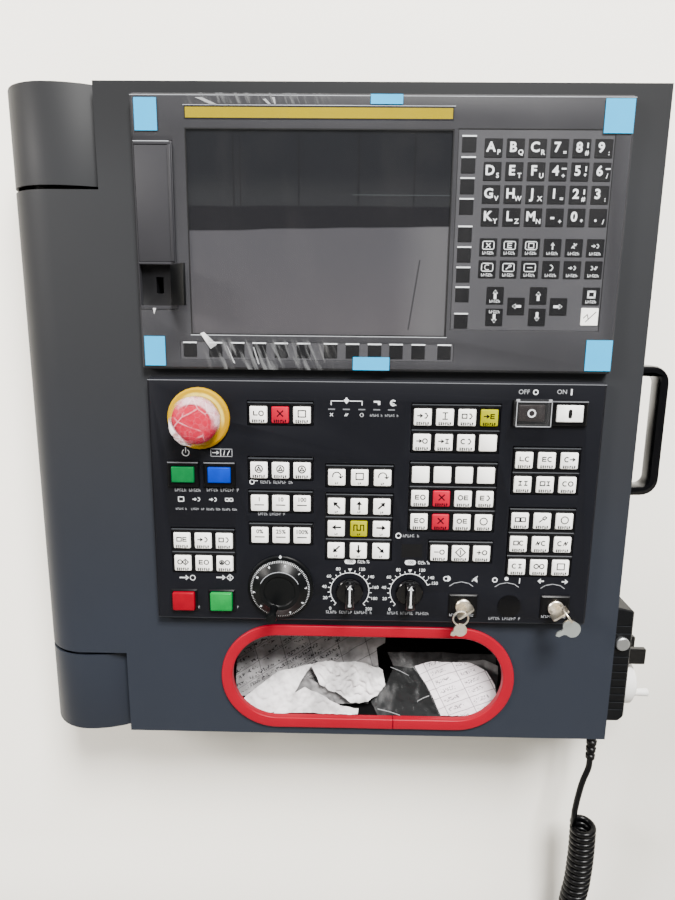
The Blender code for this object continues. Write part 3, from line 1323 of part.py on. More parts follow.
def make_pendant_dial():
    foot = PENDANT_RIGHT + GAP
    rim = foot + PENDANT_DIAL_T
    hub = foot + PENDANT_DIAL_HUB_T
    profile = [
        (0, hub), (PENDANT_DIAL_HUB_R - LENS_EDGE, hub), (PENDANT_DIAL_HUB_R, hub - LENS_EDGE),
        (PENDANT_DIAL_HUB_R, rim), (PENDANT_DIAL_R - LENS_EDGE, rim), (PENDANT_DIAL_R, rim - LENS_EDGE),
        (PENDANT_DIAL_R, foot), (FACE_SHAFT_R, foot), (FACE_SHAFT_R, PENDANT_RIGHT - FACE_SHAFT),
        (0, PENDANT_RIGHT - FACE_SHAFT),
    ]
    centre = (0, PENDANT_DIAL_Y, PENDANT_DIAL_Z)
    dial = piece("pendant_dial", "nickel", turned(profile, centre, (1, 0, 0)),
                 (PENDANT_RIGHT, PENDANT_DIAL_Y, PENDANT_DIAL_Z))
    z = PENDANT_DIAL_Z - PENDANT_CRANK_RADIUS
    cut(dial, cylinder(
        CRANK_PIN_R + GAP, (hub - CRANK_PIN - GAP, PENDANT_DIAL_Y, z), (hub + OVERRUN, PENDANT_DIAL_Y, z)
    ))
    seat = hub + GAP
    tip = seat + PENDANT_CRANK_T
    handle = [
        (0, tip), (PENDANT_CRANK_TIP_R - LENS_EDGE, tip), (PENDANT_CRANK_TIP_R, tip - LENS_EDGE),
        (PENDANT_CRANK_R, seat), (CRANK_PIN_R, seat), (CRANK_PIN_R, hub - CRANK_PIN), (0, hub - CRANK_PIN),
    ]
    piece("pendant_crank", "lens_white", turned(handle, (0, PENDANT_DIAL_Y, z), (1, 0, 0), SMALL_SEGMENTS),
          (hub, PENDANT_DIAL_Y, z))


def make_cord():
    top = PENDANT_BOTTOM - GAP
    end = top - GLAND_LENGTH
    step = GLAND_LENGTH / (2 * GLAND_RINGS + 1)
    gland = [(0, top), (GLAND_R, top)]
    for i in range(GLAND_RINGS):
        radius = GLAND_R + (GLAND_TIP_R - GLAND_R) * (i / GLAND_RINGS)
        z = top - (2 * i + 1) * step
        gland += [(radius, z), (radius - GLAND_GROOVE, z - step / 4), (radius - GLAND_GROOVE, z - step * 3 / 4)]
        gland.append((radius, z - step))
    gland += [(GLAND_TIP_R, end), (0, end)]
    piece("pendant_gland", "cord_black", turned(gland, (GLAND_X, GLAND_Y, 0), (0, 0, 1), SMALL_SEGMENTS))
    tube("cord_lead", "cord_black", smooth_route(LEAD_ROUTE, CORD_STEP), CORD_R, CORD_SIDE_RES)
    line = smooth_route(COIL_ROUTE, COIL_STEP)
    tube("cord_coil", "cord_black", line, COIL_R, 2 * CORD_SIDE_RES)
    x, y, z = line[-1]
    start = z - GAP
    nut = start - PLUG_NECK - PLUG_GRIP
    plug = [
        (0, start), (PLUG_NECK_R, start), (PLUG_NECK_R, start - PLUG_NECK), (PLUG_GRIP_R, start - PLUG_NECK - SINK),
        (PLUG_GRIP_R, nut), (PLUG_R, nut), (PLUG_R, nut - PLUG_NUT), (0, nut - PLUG_NUT),
    ]
    piece("cord_connector", "nickel", turned(plug, (x, y, 0), (0, 0, 1)))


clear_scene()
PARTS = new_collection("lathe_operator_station")
TOOLS = new_collection("cutters")
make_hinge()
make_shell()
make_display()
make_operator()
make_pocket()
make_handle()
make_pendant()
make_cord()
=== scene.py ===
"""Dresses the swing-out operator station of a lathe: its pieces, finishes, light and camera.

Lengths are in metres. X runs along the closed panel, Y into the machine and Z up.
"""

import json
import math

import bmesh
import bpy
from mathutils import Matrix, Vector, noise

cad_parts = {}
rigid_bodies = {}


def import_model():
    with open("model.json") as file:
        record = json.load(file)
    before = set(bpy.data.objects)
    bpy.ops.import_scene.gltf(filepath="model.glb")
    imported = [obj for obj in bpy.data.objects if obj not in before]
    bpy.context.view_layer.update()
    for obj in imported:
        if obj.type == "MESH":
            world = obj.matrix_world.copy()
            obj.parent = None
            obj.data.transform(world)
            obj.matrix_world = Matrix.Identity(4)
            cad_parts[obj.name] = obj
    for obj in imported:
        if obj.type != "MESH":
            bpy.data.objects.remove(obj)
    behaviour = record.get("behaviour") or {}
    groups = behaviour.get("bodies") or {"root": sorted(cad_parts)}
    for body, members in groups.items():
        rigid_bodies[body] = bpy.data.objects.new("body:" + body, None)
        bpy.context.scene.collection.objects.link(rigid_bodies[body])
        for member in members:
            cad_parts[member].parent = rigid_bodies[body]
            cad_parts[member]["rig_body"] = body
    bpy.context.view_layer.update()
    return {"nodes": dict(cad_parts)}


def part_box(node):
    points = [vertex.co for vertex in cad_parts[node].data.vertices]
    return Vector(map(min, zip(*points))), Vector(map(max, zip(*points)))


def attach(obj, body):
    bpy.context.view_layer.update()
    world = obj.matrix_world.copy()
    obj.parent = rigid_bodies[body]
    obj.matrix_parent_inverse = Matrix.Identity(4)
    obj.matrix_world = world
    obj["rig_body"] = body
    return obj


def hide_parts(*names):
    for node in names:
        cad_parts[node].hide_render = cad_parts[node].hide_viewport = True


bl_info = {
    "name": "Lathe operator station",
    "version": (1, 0, 0),
    "blender": (4, 5, 0),
    "location": "3D View > Sidebar > Station",
    "description": "Dresses a lathe's operator station with its keys, dials, papers, film and curly cord",
    "category": "Object",
}

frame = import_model()

# The planes of the station
PANEL_FACE = -0.110
FACE = -0.119
KEY_FACE = -0.1212
PRINT_LIFT = 0.00008
PRINT_SINK = 0.0003
# The front and the back of a print on a unit's face
PRINTED = (FACE - PRINT_LIFT, FACE + PRINT_SINK)

# The operator unit and the parts of the display unit: left, right, bottom, top
OPERATOR = (0.077, 0.472, -0.1685, 0.0555)
SCREEN = (0.1177, 0.332, 0.093, 0.2545)
KEYPAD = (0.3358, 0.4598, 0.0985, 0.2555)
SOFTKEYS = (0.1075, 0.3395, 0.0715, 0.0865)

# Key blocks of the operator unit: pitch, then runs of x, z, columns, rows, row pitch
KEY_BLOCKS = {
    "spindle_keys": (0.0189, [(0.1733, 0.0245, 3, 1, 0)]),
    "feed_keys": (
        0.0190,
        [(0.1731, -0.0249, 3, 1, 0), (0.1731, -0.0550, 3, 1, 0), (0.1731, -0.0850, 3, 1, 0)],
    ),
    "jog_keys": (0.0202, [(0.2418, -0.0305, 3, 1, 0), (0.2418, -0.0569, 3, 3, 0.0208)]),
    "mode_keys": (
        0.0191,
        [(0.3156, 0.0242, 4, 2, 0.0222), (0.3156, -0.0270, 4, 3, 0.0216), (0.3347, -0.0995, 3, 1, 0)],
    ),
    "auxiliary_keys": (0.0196, [(0.4053, -0.0128, 3, 2, 0.0218), (0.4053, -0.0679, 3, 3, 0.0219)]),
    "memory_keys": (0.0191, [(0.1025, -0.0913, 3, 2, 0.0216)]),
}
# The marks on each key, row by row, one string for each key
KEY_MARKS = {
    "spindle_keys": [["LO", "X", "B"]],
    "feed_keys": [["Q", "Q", "Q"], ["1", "10", "100"], ["0%", "25%", "100%"]],
    "jog_keys": [["U", "B", "U"], ["a135", "a90", "a45"], ["a180", "W", "a0"], ["a225", "a270", "a315"]],
    "mode_keys": [
        ["RD", "I", "BD", "RE"], ["RO", "RI", "CD", ""], ["", "", "", ""],
        ["EO", "X", "OE", "ED"], ["EO", "X", "OE", "O"], ["MO", "K", "PO"],
    ],
    "auxiliary_keys": [
        ["LC", "EC", "CR"], ["II", "BI", "CO"], ["BB", "Y", "O"], ["BC", "NC", "CN"], ["CI", "OO", "B"],
    ],
    "memory_keys": [["BE", "RD", "BD"], ["OK", "EO", "QO"]],
}
RED_KEYS = {("spindle_keys", 0, 1), ("mode_keys", 3, 1), ("mode_keys", 4, 1)}
YELLOW_KEYS = {("jog_keys", 2, 1), ("mode_keys", 0, 3)}

# Knobs and wheels
WHEEL = (0.1915, -0.1345)
FEED_DIAL = (0.2547, -0.1378)
SPINDLE_DIAL = (0.3093, -0.1378)
STOP = (0.1215, 0.0208)
# The scales of the two dials: radius, angle of nought and angle between ticks, in degrees
DIAL_RADIUS = 0.0176
DIAL_NOUGHT = -135
DIAL_TICK = 13.5
# Where each scale ends
DIAL_ENDS = ((FEED_DIAL, 135.0), (SPINDLE_DIAL, 67.5))

# The hand pendant's cord, as the solids lie
LEAD_ROUTE = (
    (0.5170, -0.052, -0.3550), (0.5170, -0.052, -0.3600), (0.5162, -0.052, -0.3690),
    (0.5117, -0.052, -0.3847), (0.5083, -0.052, -0.4040), (0.5062, -0.052, -0.4220),
)
COIL_ROUTE = (
    (0.5167, -0.052, -0.4360), (0.5176, -0.052, -0.4740), (0.5161, -0.052, -0.5140),
    (0.5127, -0.052, -0.5410), (0.5100, -0.052, -0.5900), (0.5092, -0.052, -0.6400),
    (0.5092, -0.052, -0.6830),
)


def paint(red, green, blue):
    """A colour given in the screen's 0 to 255 steps, as linear light."""
    return tuple(((c / 255 + 0.055) / 1.055) ** 2.4 if c > 10 else c / 3295 for c in (red, green, blue))


def colour_setting(name, description, red, green, blue):
    """A colour that a user may change."""
    return bpy.props.FloatVectorProperty(
        name=name, description=description, subtype="COLOR", size=3, min=0, max=1,
        default=paint(red, green, blue),
    )


def length_setting(name, description, default):
    """A length that a user may change."""
    return bpy.props.FloatProperty(
        name=name, description=description, default=default, min=0.0001, unit="LENGTH", subtype="DISTANCE"
    )


class StationSizes(bpy.types.PropertyGroup):
    """The sizes of what is drawn over the solids."""

    cap_width: length_setting("Cap width", "Width of a key cap of the operator unit", 0.0153)
    cap_height: length_setting("Cap height", "Height of a key cap of the operator unit", 0.0148)
    text_key: length_setting("Text key", "Side of a key of the key sheet", 0.0145)
    soft_key: length_setting("Soft key", "Side of a key beside the screen", 0.0115)
    cord_diameter: length_setting("Cord diameter", "Thickness of the pendant's cord", 0.0065)
    coil_radius: length_setting("Coil radius", "Radius of the cord's turns at their middle", 0.0109)
    coil_pitch: length_setting("Coil pitch", "Height of one turn of the cord", 0.0069)
    tick_length: length_setting("Tick length", "Length of a tick of the override dials", 0.0026)
    print_width: length_setting("Print width", "Width of the printed lines", 0.0006)
    film_wave: length_setting("Film wave", "Height of the film's waves", 0.0002)


class StationColours(bpy.types.PropertyGroup):
    """The colours of the finishes."""

    cover: colour_setting("Cover", "Slate paint of the sheet metal", 37, 38, 40)
    plate: colour_setting("Plate", "Navy face of the operator unit", 10, 11, 16)
    bezel: colour_setting("Bezel", "Moulding round the screen", 41, 41, 44)
    key_sheet: colour_setting("Key sheet", "Sheet that carries the text keys", 57, 57, 60)
    cap: colour_setting("Cap", "Plain key caps", 243, 242, 238)
    cap_red: colour_setting("Red cap", "Stop keys", 155, 2, 36)
    cap_yellow: colour_setting("Yellow cap", "Signal keys", 142, 140, 0)
    trim: colour_setting("Trim", "Edge of the document pocket", 134, 0, 26)
    tape: colour_setting("Tape", "Pull tabs of the film", 6, 152, 205)
    strip: colour_setting("Strip", "Bare strip over the screen", 136, 120, 0)
    stop_head: colour_setting("Stop head", "Head of the emergency stop", 165, 2, 42)
    stop_ring: colour_setting("Stop ring", "Collar of the emergency stop", 164, 129, 0)
    go_lens: colour_setting("Green lens", "Ready lens", 0, 95, 47)
    release_lens: colour_setting("Blue lens", "Release lens", 0, 44, 150)
    guard: colour_setting("Guard", "Cream sheet behind the station", 254, 250, 240)


class Wire:
    """A shader value that Python expressions can use."""

    def __init__(self, finish, socket):
        self.finish = finish
        self.socket = socket

    def __add__(self, other):
        return self.finish.maths("ADD", self, other)

    def __sub__(self, other):
        return self.finish.maths("SUBTRACT", self, other)

    def __rsub__(self, other):
        return self.finish.maths("SUBTRACT", other, self)

    def __mul__(self, other):
        return self.finish.maths("MULTIPLY", self, other)

    def __gt__(self, other):
        return self.finish.maths("GREATER_THAN", self, other)

    def __lt__(self, other):
        return self.finish.maths("LESS_THAN", self, other)

    def __abs__(self):
        return self.finish.maths("ABSOLUTE", self)

    __radd__ = __add__
    __rmul__ = __mul__

    def within(self, low, high):
        """One between the two values and nought outside them."""
        return (self > low) * (self < high)

    def eased(self, low, high):
        """Nought up to low and one from high, smooth between."""
        settings = {"interpolation_type": "SMOOTHSTEP"}
        return self.finish.node("ShaderNodeMapRange", settings, {0: self, 1: low, 2: high, 3: 0.0, 4: 1.0})


# How much a finish shines where nothing else is said
PLAIN_SHINE = 0.14


class Finish:
    """One material, made of nodes."""

    def __init__(self, name, colour, roughness=0.5, **more):
        self.material = bpy.data.materials.new(name)
        self.material.use_nodes = True
        self.tree = self.material.node_tree
        self.shader = self.tree.nodes["Principled BSDF"]
        self.output = self.tree.nodes["Material Output"]
        self.coordinates = None
        self.set("Base Color", colour)
        self.set("Roughness", roughness)
        self.set("Specular IOR Level", PLAIN_SHINE)
        for word, value in more.items():
            self.set(word.replace("_", " ").title().replace("Ior", "IOR"), value)

    def feed(self, socket, value):
        """Links a wire to a socket, or sets the socket's own value."""
        if isinstance(value, Wire):
            self.tree.links.new(value.socket, socket)
        elif socket.type == "RGBA":
            socket.default_value = (*value[:3], 1.0)
        else:
            socket.default_value = value

    def set(self, word, value):
        self.feed(self.shader.inputs[word], value)

    def node(self, kind, settings=None, values=None, out=0):
        """Adds a node: its settings first, then the values or wires of its sockets."""
        made = self.tree.nodes.new(kind)
        for word, value in (settings or {}).items():
            setattr(made, word, value)
        for word, value in (values or {}).items():
            self.feed(made.inputs[word], value)
        return Wire(self, made.outputs[out])

    def maths(self, operation, *values):
        return self.node("ShaderNodeMath", {"operation": operation}, dict(enumerate(values)))

    def place(self):
        """Object coordinates."""
        if self.coordinates is None:
            self.coordinates = self.node("ShaderNodeTexCoord", out="Object")
        return self.coordinates

    def axes(self):
        """The three object coordinates, one wire each."""
        split = self.node("ShaderNodeSeparateXYZ", None, {0: self.place()})
        return [Wire(self, socket) for socket in split.socket.node.outputs]

    def stretched(self, x, y, z):
        """Object coordinates, scaled along each axis."""
        return self.node("ShaderNodeMapping", None, {0: self.place(), 3: (x, y, z)})

    def noise(self, scale, detail=2.0, place=None):
        """Soft random values from nought to one, with scale in cells to the metre."""
        return self.node(
            "ShaderNodeTexNoise", None, {"Vector": place or self.place(), "Scale": scale, "Detail": detail}
        )

    def cell_edges(self, scale):
        """The distance to the nearest edge of random cells, with scale in cells to the metre."""
        values = {"Vector": self.place(), "Scale": scale}
        return self.node("ShaderNodeTexVoronoi", {"feature": "DISTANCE_TO_EDGE"}, values, "Distance")

    def mix(self, factor, low, high):
        """One colour where the factor is nought and the other where it is one."""
        return self.node("ShaderNodeMix", {"data_type": "RGBA"}, {0: factor, 6: low, 7: high}, 2)

    def bump(self, height, distance, strength=1.0):
        values = {"Height": height, "Distance": distance, "Strength": strength}
        self.set("Normal", self.node("ShaderNodeBump", None, values))

    def see_through(self, factor):
        """Lets what is behind show where the factor is nought."""
        clear = self.node("ShaderNodeBsdfTransparent")
        shown = Wire(self, self.shader.outputs[0])
        mixed = self.node("ShaderNodeMixShader", None, {0: factor, 1: clear, 2: shown})
        self.tree.links.new(mixed.socket, self.output.inputs["Surface"])


def shade(colour, factor):
    """The same colour, lighter or darker."""
    return tuple(min(1.0, part * factor) for part in colour[:3])


def moulded(name, colour, roughness, grain=900, depth=0.00004, spread=0.12, **more):
    """A plastic or painted surface: fine grain, and a slow change of tone and gloss."""
    finish = Finish(name, colour, roughness, **more)
    slow = finish.noise(14, 4)
    fine = finish.noise(grain, 3)
    mottled = finish.mix(slow.eased(0.3, 0.7), shade(colour, 1 - spread), shade(colour, 1 + spread))
    finish.set("Base Color", finish.mix(fine.eased(0.62, 0.85) * 0.35, mottled, shade(colour, 1.7)))
    finish.set("Roughness", slow * 0.16 + (roughness - 0.08))
    finish.bump(fine, depth, 0.6)
    return finish


def polished(name, colour, roughness, dust=0.25, **more):
    """A glossy surface with a little dust and fine wear in the gloss."""
    finish = Finish(name, colour, roughness, **more)
    specks = finish.noise(1600, 2).eased(0.62, 0.8) * finish.noise(60, 3).eased(0.35, 0.7)
    finish.set("Base Color", finish.mix(specks * dust, colour, (0.35, 0.35, 0.34)))
    finish.set("Roughness", finish.noise(45, 4) * 0.14 + roughness)
    finish.bump(finish.noise(120, 2), 0.00003, 0.3)
    return finish


def metal(name, colour, roughness, warm=None):
    """Plated or brushed metal, with scratches along one axis and a warmer tone in places."""
    finish = Finish(name, colour, roughness, metallic=1.0)
    lines = finish.noise(1.0, 2, finish.stretched(2500, 2500, 60))
    dull = finish.noise(40, 4)
    tone = finish.mix(dull.eased(0.35, 0.75), shade(colour, 0.82), colour)
    if warm:
        tone = finish.mix(finish.noise(150, 3).eased(0.45, 0.65) * 0.55, tone, warm)
        tone = finish.mix(finish.noise(900, 2).eased(0.62, 0.7) * 0.6, tone, shade(colour, 0.3))
    finish.set("Base Color", tone)
    finish.set("Roughness", lines * 0.2 + dull * 0.12 + (roughness - 0.1))
    finish.bump(lines, 0.00002, 0.35)
    return finish


class Build:
    """A mesh in the making, with the number of a finish on each face."""

    def __init__(self):
        self.bm = bmesh.new()

    def skin(self, rings, finish=0, looped=False):
        """Joins rings of equal count into one closed surface, with flat ends or looped."""
        verts = [[self.bm.verts.new(point) for point in ring] for ring in rings]
        pairs = list(zip(verts, verts[1:] + verts[:1])) if looped else list(zip(verts, verts[1:]))
        faces = []
        for one, two in pairs:
            for i in range(len(one)):
                j = (i + 1) % len(one)
                faces.append(self.bm.faces.new((one[i], one[j], two[j], two[i])))
        if not looped:
            faces.append(self.bm.faces.new(list(reversed(verts[0]))))
            faces.append(self.bm.faces.new(verts[-1]))
        for face in faces:
            face.material_index = finish
        bmesh.ops.recalc_face_normals(self.bm, faces=faces)
        return faces

    def prism(self, outline, front, back, finish=0):
        """An outline of (x, z) points carried from front to back along Y."""
        return self.skin([[(x, y, z) for x, z in outline] for y in (front, back)], finish)

    def box(self, low, high, finish=0):
        outline = [(low[0], low[2]), (high[0], low[2]), (high[0], high[2]), (low[0], high[2])]
        return self.prism(outline, low[1], high[1], finish)

    def stroke(self, points, width, front, back, finish=0, looped=False):
        """A printed line through (x, z) points."""
        ends = list(zip(points, points[1:] + points[:1])) if looped else list(zip(points, points[1:]))
        for (ax, az), (bx, bz) in ends:
            along = Vector((bx - ax, bz - az))
            if along.length < 1e-6:
                continue
            along.normalize()
            side = Vector((-along.y, along.x)) * width / 2
            reach = along * width * 0.35
            ax, az, bx, bz = ax - reach.x, az - reach.y, bx + reach.x, bz + reach.y
            corners = [
                (ax - side.x, az - side.y), (bx - side.x, bz - side.y),
                (bx + side.x, bz + side.y), (ax + side.x, az + side.y),
            ]
            self.prism(corners, front, back, finish)

    def arc(self, x, z, radius, start, end, width, front, back, finish=0, steps=24):
        """A printed arc, its angles in degrees from +X towards +Z."""
        whole = end - start >= 360
        near, far = radius - width / 2, radius + width / 2
        rings = []
        for i in range(steps if whole else steps + 1):
            angle = math.radians(start + (end - start) * i / steps)
            rings.append([(x + r * math.cos(angle), y, z + r * math.sin(angle))
                          for r, y in ((near, front), (far, front), (far, back), (near, back))])
        self.skin(rings, finish, whole)

    def glyphs(self, word, x, z, height, front, back, finish=0, bold=0.0, turn=0.0):
        """A word or number, centred on x and z, facing the operator."""
        key = (word, bold)
        if key not in GLYPHS:
            curve = bpy.data.curves.new("glyph", "FONT")
            curve.body = word
            curve.align_x = "CENTER"
            curve.align_y = "CENTER"
            curve.resolution_u = 3
            curve.offset = bold
            curve.extrude = 0.5
            text = bpy.data.objects.new("glyph", curve)
            bpy.context.scene.collection.objects.link(text)
            bpy.context.view_layer.update()
            GLYPHS[key] = bpy.data.meshes.new_from_object(text)
            bpy.data.objects.remove(text)
        mesh = GLYPHS[key].copy()
        size = height / 0.72
        place = Matrix.Translation((x, (front + back) / 2, z)) @ Matrix.Rotation(turn, 4, "Y")
        place = place @ Matrix.Rotation(math.pi / 2, 4, "X") @ Matrix.Diagonal((size, size, back - front, 1))
        mesh.transform(place)
        before = len(self.bm.faces)
        self.bm.from_mesh(mesh)
        self.bm.faces.ensure_lookup_table()
        faces = self.bm.faces[before:]
        for face in faces:
            face.material_index = finish
        verts = list({v for face in faces for v in face.verts})
        bmesh.ops.remove_doubles(self.bm, verts=verts, dist=1e-7)
        bpy.data.meshes.remove(mesh)

    def bars(self, left, right, z, height, front, back, finish=0, weight=0.13):
        """A row of small upright, level and short strokes where a word stands."""
        step = height * 0.74
        count = max(1, round((right - left) / step))
        step = (right - left) / count
        thin = height * weight
        low, high = z - height / 2, z + height / 2
        for i in range(count):
            if count > 6 and i % 7 == 5:
                continue
            a = left + step * (i + 0.1)
            b = a + step * 0.68
            self.box((a, front, low), (a + thin, back, high), finish)
            level = (high, z + thin / 2, low + thin)[(i * 5 + count) % 3]
            self.box((a + thin, front, level - thin), (b, back, level), finish)
            if (i * 3 + count) % 4:
                self.box((b - thin, front, z if i % 2 else low), (b, back, high if i % 2 else z), finish)

    def mesh(self, name):
        mesh = bpy.data.meshes.new(name)
        self.bm.to_mesh(mesh)
        self.bm.free()
        return mesh

    def piece(self, name, finishes, body, slot, replaces=(), smooth=None, bevel=0.0):
        """Ends the mesh as a piece that rides on a body."""
        return settle(self.mesh(name), name, finishes, body, replaces, smooth, bevel)


GLYPHS = {}


def settle(mesh, name, finishes, body, replaces=(), smooth=None, bevel=0.0):
    """Makes a mesh a finished piece: edges eased, smooth where it turns gently, on its body."""
    piece = bpy.data.objects.new(name, mesh)
    bpy.context.scene.collection.objects.link(piece)
    for finish in [finishes] if isinstance(finishes, str) else finishes:
        mesh.materials.append(finish_of(finish).material)
    if bevel:
        ease = piece.modifiers.new("ease", "BEVEL")
        ease.width = bevel
        ease.segments = 2
        ease.limit_method = "ANGLE"
        ease.angle_limit = math.radians(40)
        ease.use_clamp_overlap = True
        bpy.context.view_layer.update()
        eased = bpy.data.meshes.new_from_object(piece.evaluated_get(bpy.context.evaluated_depsgraph_get()))
        piece.modifiers.clear()
        piece.data = eased
        eased.name = name
    if smooth is not None:
        flat_or_smooth(piece.data, math.radians(smooth))
    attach(piece, body)
    if replaces:
        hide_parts(*replaces)
    return piece


def flat_or_smooth(mesh, angle):
    """Smooth faces, with the edges that turn more than the angle kept sharp."""
    bm = bmesh.new()
    bm.from_mesh(mesh)
    for face in bm.faces:
        face.smooth = True
    for edge in bm.edges:
        edge.smooth = len(edge.link_faces) == 2 and edge.calc_face_angle(0) < angle
    bm.to_mesh(mesh)
    bm.free()


def body_of(node):
    """The body that a solid rides on."""
    return frame["nodes"][node]["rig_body"]


def dressed(node, finishes, bevel=0.0, smooth=32.0, shape=None):
    """A cleaned copy of a solid with eased edges and smooth rounds, shown in the solid's place."""
    bm = bmesh.new()
    bm.from_mesh(frame["nodes"][node].data)
    bmesh.ops.remove_doubles(bm, verts=bm.verts, dist=1e-5)
    bmesh.ops.dissolve_degenerate(bm, edges=bm.edges, dist=1e-6)
    for face in bm.faces:
        face.material_index = 0
    if shape:
        shape(bm)
    if bevel:
        bmesh.ops.dissolve_limit(bm, angle_limit=math.radians(0.4), verts=bm.verts, edges=bm.edges)
    mesh = bpy.data.meshes.new(node + "_skin")
    bm.to_mesh(mesh)
    bm.free()
    return settle(mesh, node + "_skin", finishes, body_of(node), [node], smooth, bevel)


def painted_solid(node, finish):
    """A solid that keeps its own mesh, with a better finish."""
    mesh = frame["nodes"][node].data
    mesh.materials.clear()
    mesh.materials.append(finish_of(finish).material)


def repeat_tree():
    """A node tree that sets one item on every point, turned and sized by the point's own values."""
    tree = bpy.data.node_groups.new("station_repeat", "GeometryNodeTree")
    sockets = (
        ("Places", "NodeSocketGeometry"), ("Item", "NodeSocketObject"), ("Item Size", "NodeSocketFloat"),
        ("Finish", "NodeSocketMaterial"),
    )
    for name, kind in sockets:
        tree.interface.new_socket(name, in_out="INPUT", socket_type=kind)
    tree.interface.new_socket("Result", in_out="OUTPUT", socket_type="NodeSocketGeometry")
    add = tree.nodes.new
    start, end = add("NodeGroupInput"), add("NodeGroupOutput")
    item, put = add("GeometryNodeObjectInfo"), add("GeometryNodeInstanceOnPoints")
    real, coat = add("GeometryNodeRealizeInstances"), add("GeometryNodeSetMaterial")
    scale = add("ShaderNodeVectorMath")
    scale.operation = "SCALE"
    for word, socket in (("turn", put.inputs["Rotation"]), ("size", scale.inputs[0])):
        value = add("GeometryNodeInputNamedAttribute")
        value.data_type = "FLOAT_VECTOR"
        value.inputs["Name"].default_value = word
        tree.links.new(value.outputs["Attribute"], socket)
    for source, target in (
        (start.outputs["Places"], put.inputs["Points"]), (start.outputs["Item"], item.inputs["Object"]),
        (item.outputs["Geometry"], put.inputs["Instance"]),
        (start.outputs["Item Size"], scale.inputs["Scale"]),
        (scale.outputs["Vector"], put.inputs["Scale"]), (put.outputs["Instances"], real.inputs["Geometry"]),
        (real.outputs["Geometry"], coat.inputs["Geometry"]),
        (start.outputs["Finish"], coat.inputs["Material"]), (coat.outputs["Geometry"], end.inputs["Result"]),
    ):
        tree.links.new(source, target)
    return tree


def repeated(name, item, places, finish, body, smooth=None):
    """One mesh of many equal items. Each place is x, y, z, turn about Y, and the item's width and height."""
    tree = bpy.data.node_groups.get("station_repeat") or repeat_tree()
    spots = bpy.data.meshes.new(name)
    spots.from_pydata([place[:3] for place in places], [], [])
    turns = spots.attributes.new("turn", "FLOAT_VECTOR", "POINT")
    sizes = spots.attributes.new("size", "FLOAT_VECTOR", "POINT")
    for i, (x, y, z, turn, wide, tall) in enumerate(places):
        turns.data[i].vector = (0, turn, 0)
        sizes.data[i].vector = (wide, 1, tall)
    holder = bpy.data.objects.new(name, spots)
    unit = bpy.data.objects.new(name + "_item", item)
    for made in (holder, unit):
        bpy.context.scene.collection.objects.link(made)
    step = holder.modifiers.new("repeat", "NODES")
    step.node_group = tree
    inputs = {s.name: s.identifier for s in tree.interface.items_tree if s.in_out == "INPUT"}
    step[inputs["Item"]] = unit
    step[inputs["Item Size"]] = 1.0
    step[inputs["Finish"]] = finish_of(finish).material
    bpy.context.view_layer.update()
    result = bpy.data.meshes.new_from_object(holder.evaluated_get(bpy.context.evaluated_depsgraph_get()))
    holder.modifiers.remove(step)
    bpy.data.objects.remove(unit)
    bpy.data.objects.remove(holder)
    result.materials.clear()
    result.name = name
    return settle(result, name, finish, body, (), smooth)


def rounded_rectangle(width, height, radius, steps=3):
    """The outline of a rectangle with round corners, about the origin."""
    points = []
    for cx, cz, start in ((1, -1, -90), (1, 1, 0), (-1, 1, 90), (-1, -1, 180)):
        for i in range(steps + 1):
            angle = math.radians(start + 90 * i / steps)
            points.append((
                cx * (width / 2 - radius) + radius * math.cos(angle),
                cz * (height / 2 - radius) + radius * math.sin(angle),
            ))
    return points


def moved(points, x, z):
    """Points about the origin, carried to x and z."""
    return [(x + a, z + b) for a, b in points]


def cap_item(width, height, base, top, inset, corner):
    """A key cap that stands from y = base to y = top, its front a little smaller and its edges round."""
    build = Build()
    rings = []
    waist, brow = base + (top - base) * 0.55, top + inset * 0.35
    for y, shrink in ((base, 0.0), (waist, inset * 0.25), (brow, inset * 0.6), (top, inset)):
        outline = rounded_rectangle(width - 2 * shrink, height - 2 * shrink, corner)
        rings.append([(x, y, z) for x, z in outline])
    build.skin(rings)
    return build.mesh("cap")


def brick_item():
    """A plain block of one metre in X and Z and a print's thickness in Y, to be sized by each place."""
    build = Build()
    build.box((-0.5, -PRINT_LIFT, -0.5), (0.5, PRINT_SINK, 0.5))
    return build.mesh("brick")


def key_places(block):
    """Every key of a block as (row number, column, x, z), rows counted through all of its runs."""
    pitch, runs = KEY_BLOCKS[block]
    places = []
    row_number = 0
    for x, z, columns, rows, row_pitch in runs:
        for row in range(rows):
            for column in range(columns):
                places.append((row_number, column, x + column * pitch, z - row * row_pitch))
            row_number += 1
    return places


